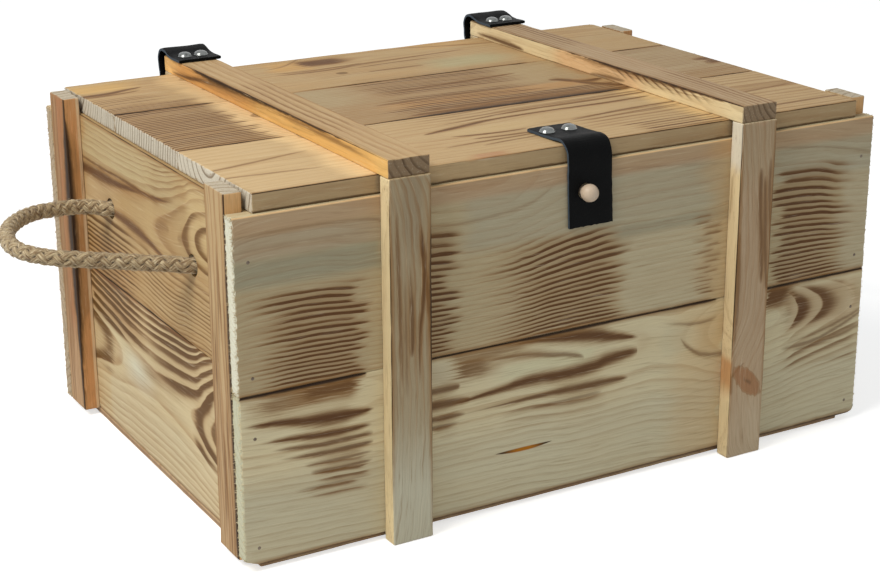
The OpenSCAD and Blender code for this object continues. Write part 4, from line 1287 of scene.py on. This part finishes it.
# Where the loop would start and end to bend when it swings, outwards from the end face; the script works
# these out but does not bend it
BEND_FROM = -8
BEND_TO = 26
HANDLE_CORE_R = 3.0
KNOT_CORE_R = 3.4
KNOT_OUT = 20.1
TAIL_HAIRS = 120
TAIL_FRAYS = 160
STRANDS = 4
BRAID_PITCH = 38.0
STRAND_RING = 3.55
STRAND_WEAVE = 0.65
STRAND_WIDE = 2.45
STRAND_HIGH = 1.50
STRAND_SIDES = 10
CORE_SIDES = 12
KNOT_TURNS = 1.9
KNOT_R = 7.2
KNOT_SQUEEZE = 1.2
KNOT_NEAR = 5.6
KNOT_DEEP = 9.5
KNOT_STEPS = 48
ROPE_STEP = 1.15


def smooth_line(knots, pitch):
    """Points a pitch apart on a smooth line through knots, and its length."""
    knots = [Vector(k) for k in knots]
    ends = [2 * knots[0] - knots[1]] + knots + [2 * knots[-1] - knots[-2]]
    dense = []
    for i in range(1, len(ends) - 2):
        p0, p1, p2, p3 = ends[i - 1:i + 3]
        for j in range(24):
            t = j / 24
            dense.append(0.5 * (2 * p1 + (p2 - p0) * t + (2 * p0 - 5 * p1 + 4 * p2 - p3) * t * t
                                + (3 * p1 - p0 - 3 * p2 + p3) * t ** 3))
    dense.append(knots[-1])
    total = sum((b - a).length for a, b in zip(dense, dense[1:]))
    count = max(2, round(total / pitch))
    points, walked, i = [dense[0]], 0.0, 0
    for n in range(1, count):
        goal = total * n / count
        while walked + (dense[i + 1] - dense[i]).length < goal:
            walked += (dense[i + 1] - dense[i]).length
            i += 1
        t = (goal - walked) / (dense[i + 1] - dense[i]).length
        points.append(dense[i].lerp(dense[i + 1], t))
    points.append(dense[-1])
    return points, total


def frames_along(points):
    """For each point its direction and two directions across, which turn as little as they can."""
    frames = []
    across = None
    for i, point in enumerate(points):
        ahead = points[min(i + 1, len(points) - 1)] - points[max(i - 1, 0)]
        ahead.normalize()
        if across is None:
            across = ahead.cross(Vector((0, 0, 1)))
            if across.length < 0.1:
                across = ahead.cross(Vector((0, 1, 0)))
        across = (across - ahead * across.dot(ahead)).normalized()
        frames.append((point, ahead, across, ahead.cross(across)))
    return frames


def turned_to(angle, one, two):
    """The direction at an angle from one towards two."""
    return one * math.cos(angle) + two * math.sin(angle)


class RopeMesh:
    """Points and faces of braided rope, with the fibre directions and depths its material reads; it paints
    shade from the depths.
    """

    def __init__(self, seed):
        self.points, self.faces, self.fibres = [], [], []
        self.chance = random.Random(seed)

    def add(self, place, along, around, height):
        self.points.append(metres(place))
        self.fibres.append((along, around, height))
        return len(self.points) - 1

    def close(self, rows):
        """A skin round rows of points, with both ends closed."""
        self.faces += skin(rows) + [tuple(rows[0][::-1]), tuple(rows[-1])]

    def strand(self, frames, hand, turn, lane):
        rows = []
        pitch = (frames[1][0] - frames[0][0]).length
        phase = self.chance.random() * 50
        for i, (point, ahead, side, over) in enumerate(frames):
            s = i * pitch
            angle = hand * 2 * math.pi * s / BRAID_PITCH + turn
            weave = hand * STRAND_WEAVE * math.cos(math.pi * 2 * STRANDS * s / BRAID_PITCH)
            swell = 1.0 + 0.09 * noise.noise(Vector((s / 9.0, phase, 0)))
            outward = turned_to(angle, side, over)
            slope = 2 * math.pi * STRAND_RING / BRAID_PITCH
            lie = (ahead + turned_to(angle, over, -side) * hand * slope).normalized()
            wide = outward.cross(lie).normalized()
            middle = point + outward * (STRAND_RING + weave)
            row = []
            for k in range(STRAND_SIDES):
                a = 2 * math.pi * k / STRAND_SIDES
                out = STRAND_HIGH * swell * math.sin(a)
                sideways = STRAND_WIDE * swell * math.cos(a)
                # how far out the point stands, from 0 deep in the gaps to 1 on top; the material paints
                # shade where it is low
                height = min(1.0, max(0.0, (math.hypot(STRAND_RING + weave + out, sideways) - 3.1) / 2.2))
                row.append(self.add(middle + wide * sideways + outward * out, s + lane * 37.0,
                                    a * STRAND_WIDE + lane * 11.0, height))
            rows.append(row)
        self.close(rows)

    def core(self, frames, radius):
        angles = [2 * math.pi * k / CORE_SIDES for k in range(CORE_SIDES)]
        # the core gets depth 0, so the material paints it in full shade
        self.close([[self.add(point + turned_to(a, side, over) * radius, float(i), a * radius, 0.0)
                     for a in angles] for i, (point, ahead, side, over) in enumerate(frames)])

    def sliver(self, places, one, two, around, height):
        """A thin three-sided fibre through (point, thickness, how far along) places."""
        self.close([[self.add(here + size * turned_to(third, one, two), along, around, height)
                     for third in THIRDS] for here, size, along in places])

    def hairs(self, frames, count):
        chance = self.chance
        for _ in range(count):
            point, ahead, side, over = frames[chance.randrange(2, len(frames) - 2)]
            angle = chance.uniform(0, 2 * math.pi)
            outward = turned_to(angle, side, over)
            tangent = turned_to(angle, over, -side)
            lie = ahead * chance.choice((-1, 1)) * chance.uniform(0.5, 1.0) \
                + tangent * chance.uniform(-0.55, 0.55)
            long = 1.6 + 4.6 * chance.random() ** 2
            thick = 0.045 + 0.055 * chance.random()
            lift = chance.uniform(0.12, 0.55)
            root = point + outward * (ROPE_D / 2 - 0.7)
            self.sliver([(root + lie * (long * t) + outward * (long * lift * t * (1.3 - 0.5 * t)),
                          thick * (1.0 - 0.6 * t), long * t) for t in (0, 1 / 3, 2 / 3, 1)],
                        outward, tangent, angle, 1.0)

    def frays(self, frames, count):
        """Fibres at a cut end."""
        chance = self.chance
        point, ahead, across, over = frames[-1]
        for _ in range(count):
            r = 4.6 * math.sqrt(chance.random())
            a = chance.uniform(0, 2 * math.pi)
            outward = turned_to(a, across, over)
            root = point + outward * r - ahead * 1.0
            tip = root + ahead * chance.uniform(1.6, 2.6) + outward * chance.uniform(0, 0.9)
            self.sliver([(root, 0.16, 0.0), (tip, 0.06, 2.0)], across, over, a, 0.9)

    def braid(self, frames, core_radius, core_every=1):
        self.core(frames[::core_every], core_radius)
        for hand in (1, -1):
            for lane in range(STRANDS):
                self.strand(frames, hand, 2 * math.pi * lane / STRANDS, lane + (STRANDS if hand < 0 else 0))

    def make(self, name, body, node):
        piece = make_piece(name, self.points, self.faces, JUTE, "jute_rope", body, [node], smooth=True)
        for title, values in zip(FIBRE_FIELDS, zip(*self.fibres)):
            piece.data.attributes.new(title, "FLOAT", "POINT").data.foreach_set("value", values)
        return piece


def rope_place(side, out, along, up):
    return (side * (END_FACE + out), along, ROPE_HOLE_Z + up)


def make_handle(side, label, seed):
    knots_at = [(-KNOT_OUT, ROPE_HOLE_Y, 0), *ROPE_ROUTE, (-KNOT_OUT, -ROPE_HOLE_Y, 0)]
    line, total = smooth_line([rope_place(side, *p) for p in knots_at], ROPE_STEP)
    frames = frames_along(line)
    rope = RopeMesh(seed)
    rope.braid(frames, HANDLE_CORE_R, 3)
    rope.hairs(frames, ROPE_HAIRS)
    piece = rope.make(label + "_rope_braid", None, label + "_rope_handle")
    metres(rope_place(side, BEND_FROM, 0, 0))
    metres(rope_place(side, BEND_TO, 0, 0))
    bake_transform(piece)
    knots = make_knots(side, label, seed + 1)
    metres(rope_place(side, 0, ROPE_HOLE_Y, 0))
    round(total * MM, 4)
    [metres(p) for p in line[::3] + [line[-1]]]


def make_knots(side, label, seed):
    """Both stopper knots inside an end: two round turns drawn tight, and the tail hanging down."""
    rope = RopeMesh(seed)
    for y in (-ROPE_HOLE_Y, ROPE_HOLE_Y):
        turns = []
        for i in range(KNOT_STEPS + 1):
            t = i / KNOT_STEPS
            angle = 2 * math.pi * (KNOT_TURNS * t) + (0.6 if y < 0 else 2.4)
            reach = KNOT_R - KNOT_SQUEEZE * abs(2 * t - 1) ** 2
            turns.append((side * (END_INNER - KNOT_NEAR - KNOT_DEEP * t), y + reach * math.cos(angle),
                          ROPE_HOLE_Z + reach * math.sin(angle)))
        line, _ = smooth_line([turns[0], *turns[3::3]], 1.3)
        rope.braid(frames_along(line), KNOT_CORE_R)
        tail = [(-KNOT_OUT, y, 0), (-KNOT_OUT + 1, y + (turns[-1][1] - y) * 0.4, -9),
                (-KNOT_OUT, y, -18), (-KNOT_OUT, y, -29)]
        line, _ = smooth_line([rope_place(side, *p) for p in tail], 1.2)
        frames = frames_along(line)
        rope.braid(frames, KNOT_CORE_R)
        rope.hairs(frames, TAIL_HAIRS)
        rope.frays(frames, TAIL_FRAYS)
    return rope.make(label + "_rope_stoppers", "box", label + "_rope_knots")


make_handle(-1, "left", 301)
make_handle(1, "right", 307)


# ---------------------------------------------------------------- leather straps
LEATHER_T = 2.2
STRAP_LANES = 16
STRAP_EDGE = 0.45
STRAP_STEP = 1.5


def strap(name, knots, half_width, nodes, seed, middle, lean, flare=0.0):
    """A leather strip along the (y, z) knots of its inner side; outward is to the left of it.

    middle and lean give its place along X, and flare widens it towards its end.
    """
    line, total = smooth_line(knots, STRAP_STEP)
    line = [(p.x, p.y, total * i / (len(line) - 1)) for i, p in enumerate(line)]
    points = []
    count = len(line)
    sides = 2 * (STRAP_LANES + 1)
    for i, (y, z, along) in enumerate(line):
        before, after = line[max(i - 1, 0)], line[min(i + 1, count - 1)]
        dy, dz = after[0] - before[0], after[1] - before[1]
        size = math.hypot(dy, dz)
        out_y, out_z = dz / size, -dy / size
        width = half_width + flare * along / total
        slid = middle + lean[0] + lean[1] * along / lean[2]
        for k in range(sides):
            inner = k <= STRAP_LANES
            lane = k if inner else sides - 1 - k
            across = -1 + 2 * lane / STRAP_LANES
            x = across * width
            x += 0.28 * noise.noise(Vector((along / 5.0, across * 2 + seed, 3.0))) * abs(across) ** 6
            past = max(0.0, abs(across) - (1 - 1 / STRAP_LANES))
            round_off = STRAP_EDGE * past * STRAP_LANES * 0.5
            wave = 0.12 * noise.noise(Vector((x / 9.0, along / 8.0, seed + 0.5)))
            depth = wave + (round_off if inner else LEATHER_T + wave - round_off)
            points.append(metres((x + slid, y + out_y * depth, z + out_z * depth)))
    # both cut ends are a little uneven
    chance = random.Random(seed)
    for end, inside in ((0, 1), (count - 1, count - 2)):
        y_step = line[inside][0] - line[end][0]
        z_step = line[inside][1] - line[end][1]
        size = math.hypot(y_step, z_step)
        for point in points[end * sides:(end + 1) * sides]:
            pull = chance.random() * 0.5 * MM
            point[1] += y_step / size * pull
            point[2] += z_step / size * pull
    faces = skin(rings_of(sides, count))
    for base, turn in ((0, 1), ((count - 1) * sides, -1)):
        faces += [(base + lane, base + lane + 1, base + sides - 2 - lane, base + sides - 1 - lane)[::turn]
                  for lane in range(STRAP_LANES)]
    return make_piece(name, points, faces, LEATHER, "black_leather", None, nodes)


PEG_PLACE = (0.0, -176.0, 215.0)
PEG_SLOT = (0.0, -169.9, PEG_PLACE[2])
PEG_SLOT_R = 5.5
CLOSURE_HALF = 16.8
CLOSURE_FLARE = 0.4
HINGE_HALF = 17.0
# Neither kind lies quite straight: off the middle at its start, and further off after so many mm
CLOSURE_LEAN = (1.2, 4.2, 100.0)
HINGE_LEAN = (-1.0, 1.4, 90.0)
# The (y, z) routes of the straps' inner sides, from the lid forwards and from behind up and over
CLOSURE_KNOTS = [(-123.5, 246.8), (-134, 246.8), (-145, 246.85), (-153, 247.2), (-159, 247.75),
                 (-163, 247.3), (-166.2, 245.4), (-168.3, 242.0), (-169.1, 237.5), (-169.0, 231.0),
                 (-168.8, 222.0), (-168.8, 206.0), (-168.8, 190.7)]
HINGE_KNOTS = [(180.8, 208.8), (180.8, 220.0), (181.2, 231.0), (182.6, 241.0), (184.4, 249.0),
               (185.2, 255.0), (183.6, 260.2), (179.0, 262.4), (173.0, 261.6), (166.5, 259.6),
               (160.0, 258.85), (152.0, 258.8), (145.4, 258.8)]

closure = strap("closure_strap", CLOSURE_KNOTS, CLOSURE_HALF, ["closure_strap_root", "closure_strap_tongue"],
                5, 0.0, CLOSURE_LEAN, CLOSURE_FLARE)
cut(closure, *circle_prism(PEG_SLOT, 1, PEG_SLOT_R, 6.0))
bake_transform(closure)
for side, label in ((-1, "left"), (1, "right")):
    hinge = strap(label + "_hinge_leather", HINGE_KNOTS, HINGE_HALF, [label + "_hinge_strap"], 20 + side,
                  side * BATTEN_X, HINGE_LEAN)
    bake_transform(hinge)


# ---------------------------------------------------------------- nails, peg and base
def turned(profile, places, axis, sides):
    """Points and faces of turned shapes: profile is (radius, height) from the top down."""
    points, faces = [], []
    axis = Vector(axis)
    one = axis.orthogonal().normalized()
    two = axis.cross(one)
    for place in places:
        base = len(points)
        for radius, height in profile:
            for i in range(sides):
                around = turned_to(2 * math.pi * i / sides, one, two)
                points.append(list((Vector(place) + axis * height + around * radius) * MM))
        for r in range(len(profile) - 1):
            for i in range(sides):
                n = (i + 1) % sides
                a, b = base + r * sides, base + (r + 1) * sides
                faces.append((a + i, b + i, b + n, a + n))
        faces.append(tuple(base + i for i in range(sides)))
        last = base + (len(profile) - 1) * sides
        faces.append(tuple(last + i for i in range(sides))[::-1])
    return points, faces


LATHE_SIDES = 36
PEG_R = 6.0
PEG_SHANK = [(4.0, -5.0), (4.0, -18.0), (3.6, -18.4)]
DOME_R = 5.5
DOME_H = 3.2
DOME_LONG = 9.0
DOME_PROFILE = [(DOME_R * math.sin(math.radians(a)) * 0.94, DOME_H * math.cos(math.radians(a)) ** 0.9)
                for a in (4, 14, 26, 38, 50, 62, 73, 82)] \
    + [(DOME_R * 0.97, 0.28), (DOME_R, 0.16), (DOME_R, 0.03), (DOME_R * 0.9, 0.0)] \
    + [(0.9, 0.0), (0.9, -DOME_LONG), (0.3, -DOME_LONG - 0.8)]
PEG_PROFILE = [(PEG_R * math.sin(math.radians(a)), PEG_R * math.cos(math.radians(a)))
               for a in (3, 12, 22, 32, 42, 52, 62, 72, 82, 90, 100, 110, 120, 130, 138)] + PEG_SHANK


def dome_nails(name, node, body, spots, y, z, axis):
    points, faces = turned(DOME_PROFILE, [(x, y, z) for x in spots], axis, LATHE_SIDES)
    make_piece(name, points, faces, NICKEL, "dome_nail_steel", body, [node], smooth=True)


HINGE_SPOTS = [side * BATTEN_X + dx for side in BOTH for dx in (-6.5, 6.5)]
dome_nails("closure_domes", "closure_nails", "lid", (-8.75, 8.75), -137.5, 249.0, (0, 0, 1))
dome_nails("hinge_domes_lid", "hinge_nails_lid", "lid", HINGE_SPOTS, 159.0, 261.0, (0, 0, 1))
dome_nails("hinge_domes_back", "hinge_nails_back", "box", HINGE_SPOTS, 183.0, 222.5, (0, 1, 0))

make_piece("closure_peg_turned", *turned(PEG_PROFILE, [PEG_PLACE], (0, -1, 0), LATHE_SIDES), BEECH,
           "peg_beech", "box", ["closure_peg"], smooth=True)
plank("base_panel", PLYWOOD, "base_plywood", "box", 0, 97, 8.0, (0.2, 0.2))

BOARD_W = WALL_TOP / 2 - WALL_BOTTOM / 2
LID_JOINTS = [edge("lid_board_front", 0, "y")]
LID_JOINTS += [edge("lid_board_" + place, 1, "y") for place in ("front", "middle", "back")]
NAIL_SIDES = 20
NAIL_ROWS = (0, 1)
# Where the nails stand, as shares of a board's width, or of the box's length and width for the base;
# a batten's nails are staggered, so theirs are (off the middle of the batten, share)
CORNER_NAILS = (0.1, 0.75)
END_NAILS = (0.3, 0.6)
BATTEN_NAILS = ((-5.9, 0.25), (5.9, 0.75))
BASE_LONG_NAILS = (-0.4, -0.14, 0.14, 0.4)
BASE_SHORT_NAILS = (-0.2, 0.2)
CORNER_NAIL_X = 240.4
CORNER_NAIL_Y = 142.75
BASE_NAIL_INSET = 8.0


def wire_nails(node, body, long, groups):
    """Wire nails; groups holds the way the heads face, and the middle of each head."""
    profile = [(0.35, 0.10), (0.85, 0.10), (1.10, 0.06), (1.2, -0.06), (1.2, -0.6), (0.8, -0.6),
               (0.8, 1.6 - long), (0.12, -long)]
    points, faces = [], []
    for facing, places in groups:
        more_points, more_faces = turned(profile, places, facing, NAIL_SIDES)
        faces += [[i + len(points) for i in face] for face in more_faces]
        points += more_points
    make_piece(node + "_wire", points, faces, WIRE_STEEL, "wire_nail_steel", body, [node], smooth=True)


def up_wall(row, share):
    """A height on a wall's lower or upper board, as a share of the board."""
    return WALL_BOTTOM + (row + share) * BOARD_W


wire_nails("corner_nails", "box", 30.0, [
    ((0, sy, 0), [(sx * CORNER_NAIL_X, sy * WALL_FACE, up_wall(row, share))
                  for sx in BOTH for row in NAIL_ROWS for share in CORNER_NAILS]) for sy in BOTH])
wire_nails("end_nails", "box", 20.0, [
    ((-sx, 0, 0), [(sx * END_INNER, sy * CORNER_NAIL_Y, up_wall(row, share))
                   for sy in BOTH for row in NAIL_ROWS for share in END_NAILS]) for sx in BOTH])
wire_nails("wall_batten_nails", "box", 20.0, [
    ((0, -sy, 0), [(sx * (BATTEN_X + dx), sy * WALL_INNER, up_wall(row, share))
                   for sx in BOTH for row in NAIL_ROWS for dx, share in BATTEN_NAILS]) for sy in BOTH])
wire_nails("lid_nails", "lid", 21.5, [
    ((0, 0, -1), [(sx * (BATTEN_X + dx), low + share * (high - low), WALL_TOP) for sx in BOTH
                  for low, high in zip(LID_JOINTS, LID_JOINTS[1:]) for dx, share in BATTEN_NAILS])])
wire_nails("base_nails", "box", 30.0, [
    ((0, 0, -1), [(share * 2 * WALL_END, sy * (WALL_FACE - BASE_NAIL_INSET), 0.0)
                  for share in BASE_LONG_NAILS for sy in BOTH]
     + [(sx * (END_FACE + END_INNER) / 2, share * 2 * WALL_FACE, 0.0)
        for share in BASE_SHORT_NAILS for sx in BOTH])])


# ---------------------------------------------------------------- floor, light and world
FLOOR_HALF = 8.0
FLOOR_CELLS = 8
FLOOR_DROP = 0.0002
FLOOR_COLOUR = (0.80, 0.80, 0.80, 1)
FLOOR_LIFT = 0.60
AMBIENT = 0.42
AMBIENT_COLOUR = (0.94, 0.98, 1.0, 1)
WHITE = (1, 1, 1, 1)
KEY_PLACE = (-1.20, -0.26, 1.60)
KEY_AIM = (0, 0, 0.12)
KEY_SIZE = 1.0
KEY_WATTS = 27.0
KEY_COLOUR = (1.0, 0.97, 0.92)


def camera_sees(tree):
    path = new_node(tree, "LightPath")
    camera, glossy, through = [Field(tree, path.outputs[title]) for title in (
        "Is Camera Ray", "Is Glossy Ray", "Is Transmission Ray")]
    return larger(larger(camera, glossy), through)


def make_floor():
    row = FLOOR_CELLS + 1
    pitch = 2 * FLOOR_HALF / FLOOR_CELLS
    points = [(-FLOOR_HALF + i * pitch, -FLOOR_HALF + j * pitch, -FLOOR_DROP)
              for j in range(row) for i in range(row)]
    corners = [j * row + i for j in range(FLOOR_CELLS) for i in range(FLOOR_CELLS)]
    mesh = bpy.data.meshes.new("floor")
    mesh.from_pydata(points, [], [(c, c + 1, c + row + 1, c + row) for c in corners])
    link(bpy.data.objects.new("floor", mesh))
    material = bpy.data.materials.new("floor")
    tree, way_out = clear_tree(material, "OutputMaterial")
    matte = new_node(tree, "BsdfDiffuse", {"Color": FLOOR_COLOUR})
    glow = new_node(tree, "Emission", {"Strength": camera_sees(tree) * FLOOR_LIFT})
    both = new_node(tree, "AddShader", {i: Field(tree, s.outputs[0]) for i, s in enumerate((matte, glow))})
    tree.links.new(both.outputs[0], way_out)
    mesh.materials.append(material)


def make_world():
    world = bpy.data.worlds.new("studio")
    bpy.context.scene.world = world
    tree, way_out = clear_tree(world, "OutputWorld")
    light = new_node(tree, "Background", {"Color": AMBIENT_COLOUR, "Strength": AMBIENT})
    white = new_node(tree, "Background", {"Color": WHITE})
    mix = new_node(tree, "MixShader", {"Fac": camera_sees(tree), 1: Field(tree, light.outputs[0]),
                                       2: Field(tree, white.outputs[0])})
    tree.links.new(mix.outputs[0], way_out)


def make_key():
    data = bpy.data.lights.new("key", "AREA")
    data.shape = "DISK"
    data.size = KEY_SIZE
    data.energy = KEY_WATTS
    data.color = KEY_COLOUR
    lamp = link(bpy.data.objects.new("key", data))
    aim = Vector(KEY_AIM) - Vector(KEY_PLACE)
    lamp.matrix_world = Matrix.Translation(KEY_PLACE) @ aim.to_track_quat("-Z", "Y").to_matrix().to_4x4()


make_floor()
make_world()
make_key()
bpy.context.scene.view_settings.view_transform = "Standard"
